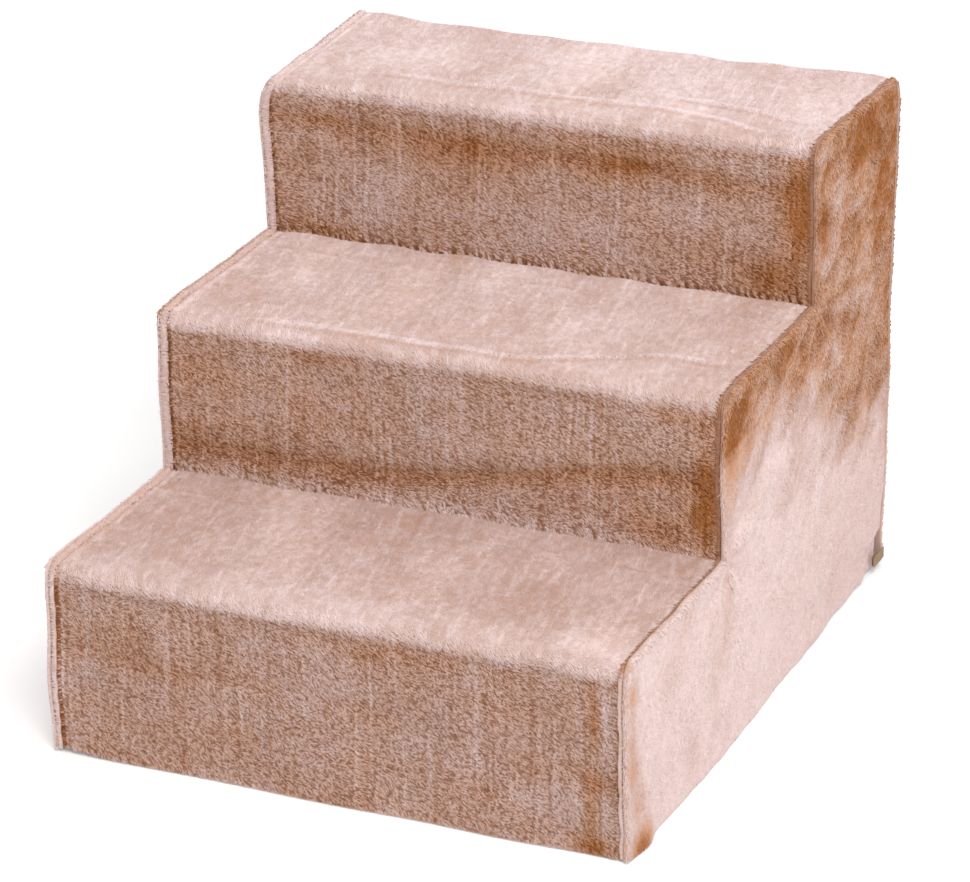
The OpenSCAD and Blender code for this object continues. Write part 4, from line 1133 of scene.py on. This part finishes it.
# Floor: a flat sheet of white paper. It shows as plain white to the camera and in reflections,
# and gives the part a soft shadow and a little less light from below.
FLOOR_HALF = 12.0
PAPER_LOW, PAPER_HIGH, SEEN_GLOW = 0.80, 0.82, 0.16


def any_ray(add, *kinds):
    """A node output that is 1 for the rays of any of these kinds, and 0 for the others."""
    path = add("ShaderNodeLightPath").outputs
    found = path[kinds[0]]
    for kind in kinds[1:]:
        found = add("ShaderNodeMath", {0: found, 1: path[kind]}, operation="MAXIMUM").outputs[0]
    return found


made, add = new_material("white_floor")
seen = any_ray(add, "Is Camera Ray", "Is Glossy Ray", "Is Transmission Ray")
grain = add("ShaderNodeTexNoise", {"Vector": add("ShaderNodeTexCoord").outputs["Object"],
                                   "Scale": 3.0, "Detail": 1.0})
paper = add("ShaderNodeMapRange", {"Value": grain.outputs["Fac"], "To Min": PAPER_LOW,
                                   "To Max": PAPER_HIGH})
tint = add("ShaderNodeMix", {0: seen, 2: paper.outputs[0], 3: 1.0}, data_type="FLOAT")
glow = add("ShaderNodeMath", {0: seen, 1: SEEN_GLOW}, operation="MULTIPLY")
shader = add("ShaderNodeBsdfPrincipled", {
    "Base Color": tint.outputs[0], "Roughness": 1.0, "Specular IOR Level": 0.0,
    "Emission Color": (1, 1, 1, 1), "Emission Strength": glow.outputs[0]})
add("ShaderNodeOutputMaterial", {"Surface": shader.outputs[0]})
mesh = bpy.data.meshes.new("floor")
corners = [(x * FLOOR_HALF, y * FLOOR_HALF, 0) for x, y in ((-1, -1), (1, -1), (1, 1), (-1, 1))]
mesh.from_pydata(corners, [], [(0, 1, 2, 3)])
mesh.materials.append(made)
floor = placed("floor", mesh)

# Light: an even white room that the camera sees as plain white, and one broad soft lamp above
# and to the right of the camera, which draws out the pile on the risers.
ROOM_LEVEL = 0.86
LAMP_PLACE = (1.75, -1.9, 2.95)
LAMP_AIM = (0.0, 0.0, 0.15)
LAMP_SIZE = 1.8
LAMP_WATTS = 84
world = bpy.data.worlds.new("room")
bpy.context.scene.world = world
world.use_nodes = True
add = node_adder(world.node_tree)
level = add("ShaderNodeMapRange", {"Value": any_ray(add, "Is Camera Ray", "Is Glossy Ray"),
                                   "To Min": ROOM_LEVEL, "To Max": 1.0})
sky = add("ShaderNodeBackground", {"Strength": level.outputs[0]})
add("ShaderNodeOutputWorld", {"Surface": sky.outputs[0]})
lamp_data = bpy.data.lights.new("key_lamp", "AREA")
lamp_data.size = LAMP_SIZE
lamp_data.energy = LAMP_WATTS
towards = unit(np.array(LAMP_PLACE) - np.array(LAMP_AIM))
side_way = unit(np.cross((0, 0, 1), towards))
lamp_axes = np.stack([side_way, np.cross(towards, side_way), towards], 1)
placed("key_lamp", lamp_data, lamp_axes, LAMP_PLACE)

# Camera: above and to the right of the front, as far off as the near-parallel edges ask. Its place
# and its angles in degrees come from a fit to the corners and the outline of the steps.
AZIMUTH, ELEVATION, ROLL = np.radians((24.56, 23.40, -1.16))
CAMERA_PLACE = (1.1180, -2.4421, 1.3192)
FOCAL_PIXELS, PHOTO_WIDTH, SENSOR_MM = 4397, 970, 36.0
right = np.array([np.cos(AZIMUTH), np.sin(AZIMUTH), 0])
back_way = np.array([np.sin(AZIMUTH) * np.cos(ELEVATION), -np.cos(AZIMUTH) * np.cos(ELEVATION),
                     np.sin(ELEVATION)])
upright = np.cross(back_way, right)
turned = np.stack([np.cos(ROLL) * right + np.sin(ROLL) * upright,
                   np.cos(ROLL) * upright - np.sin(ROLL) * right, back_way], 1)
camera_data = bpy.data.cameras.new("camera")
camera_data.sensor_width = SENSOR_MM
camera_data.lens = FOCAL_PIXELS / PHOTO_WIDTH * SENSOR_MM
camera_data.clip_end = 100
bpy.context.scene.camera = placed("camera", camera_data, turned, CAMERA_PLACE)
bpy.context.scene.view_settings.view_transform = "Standard"
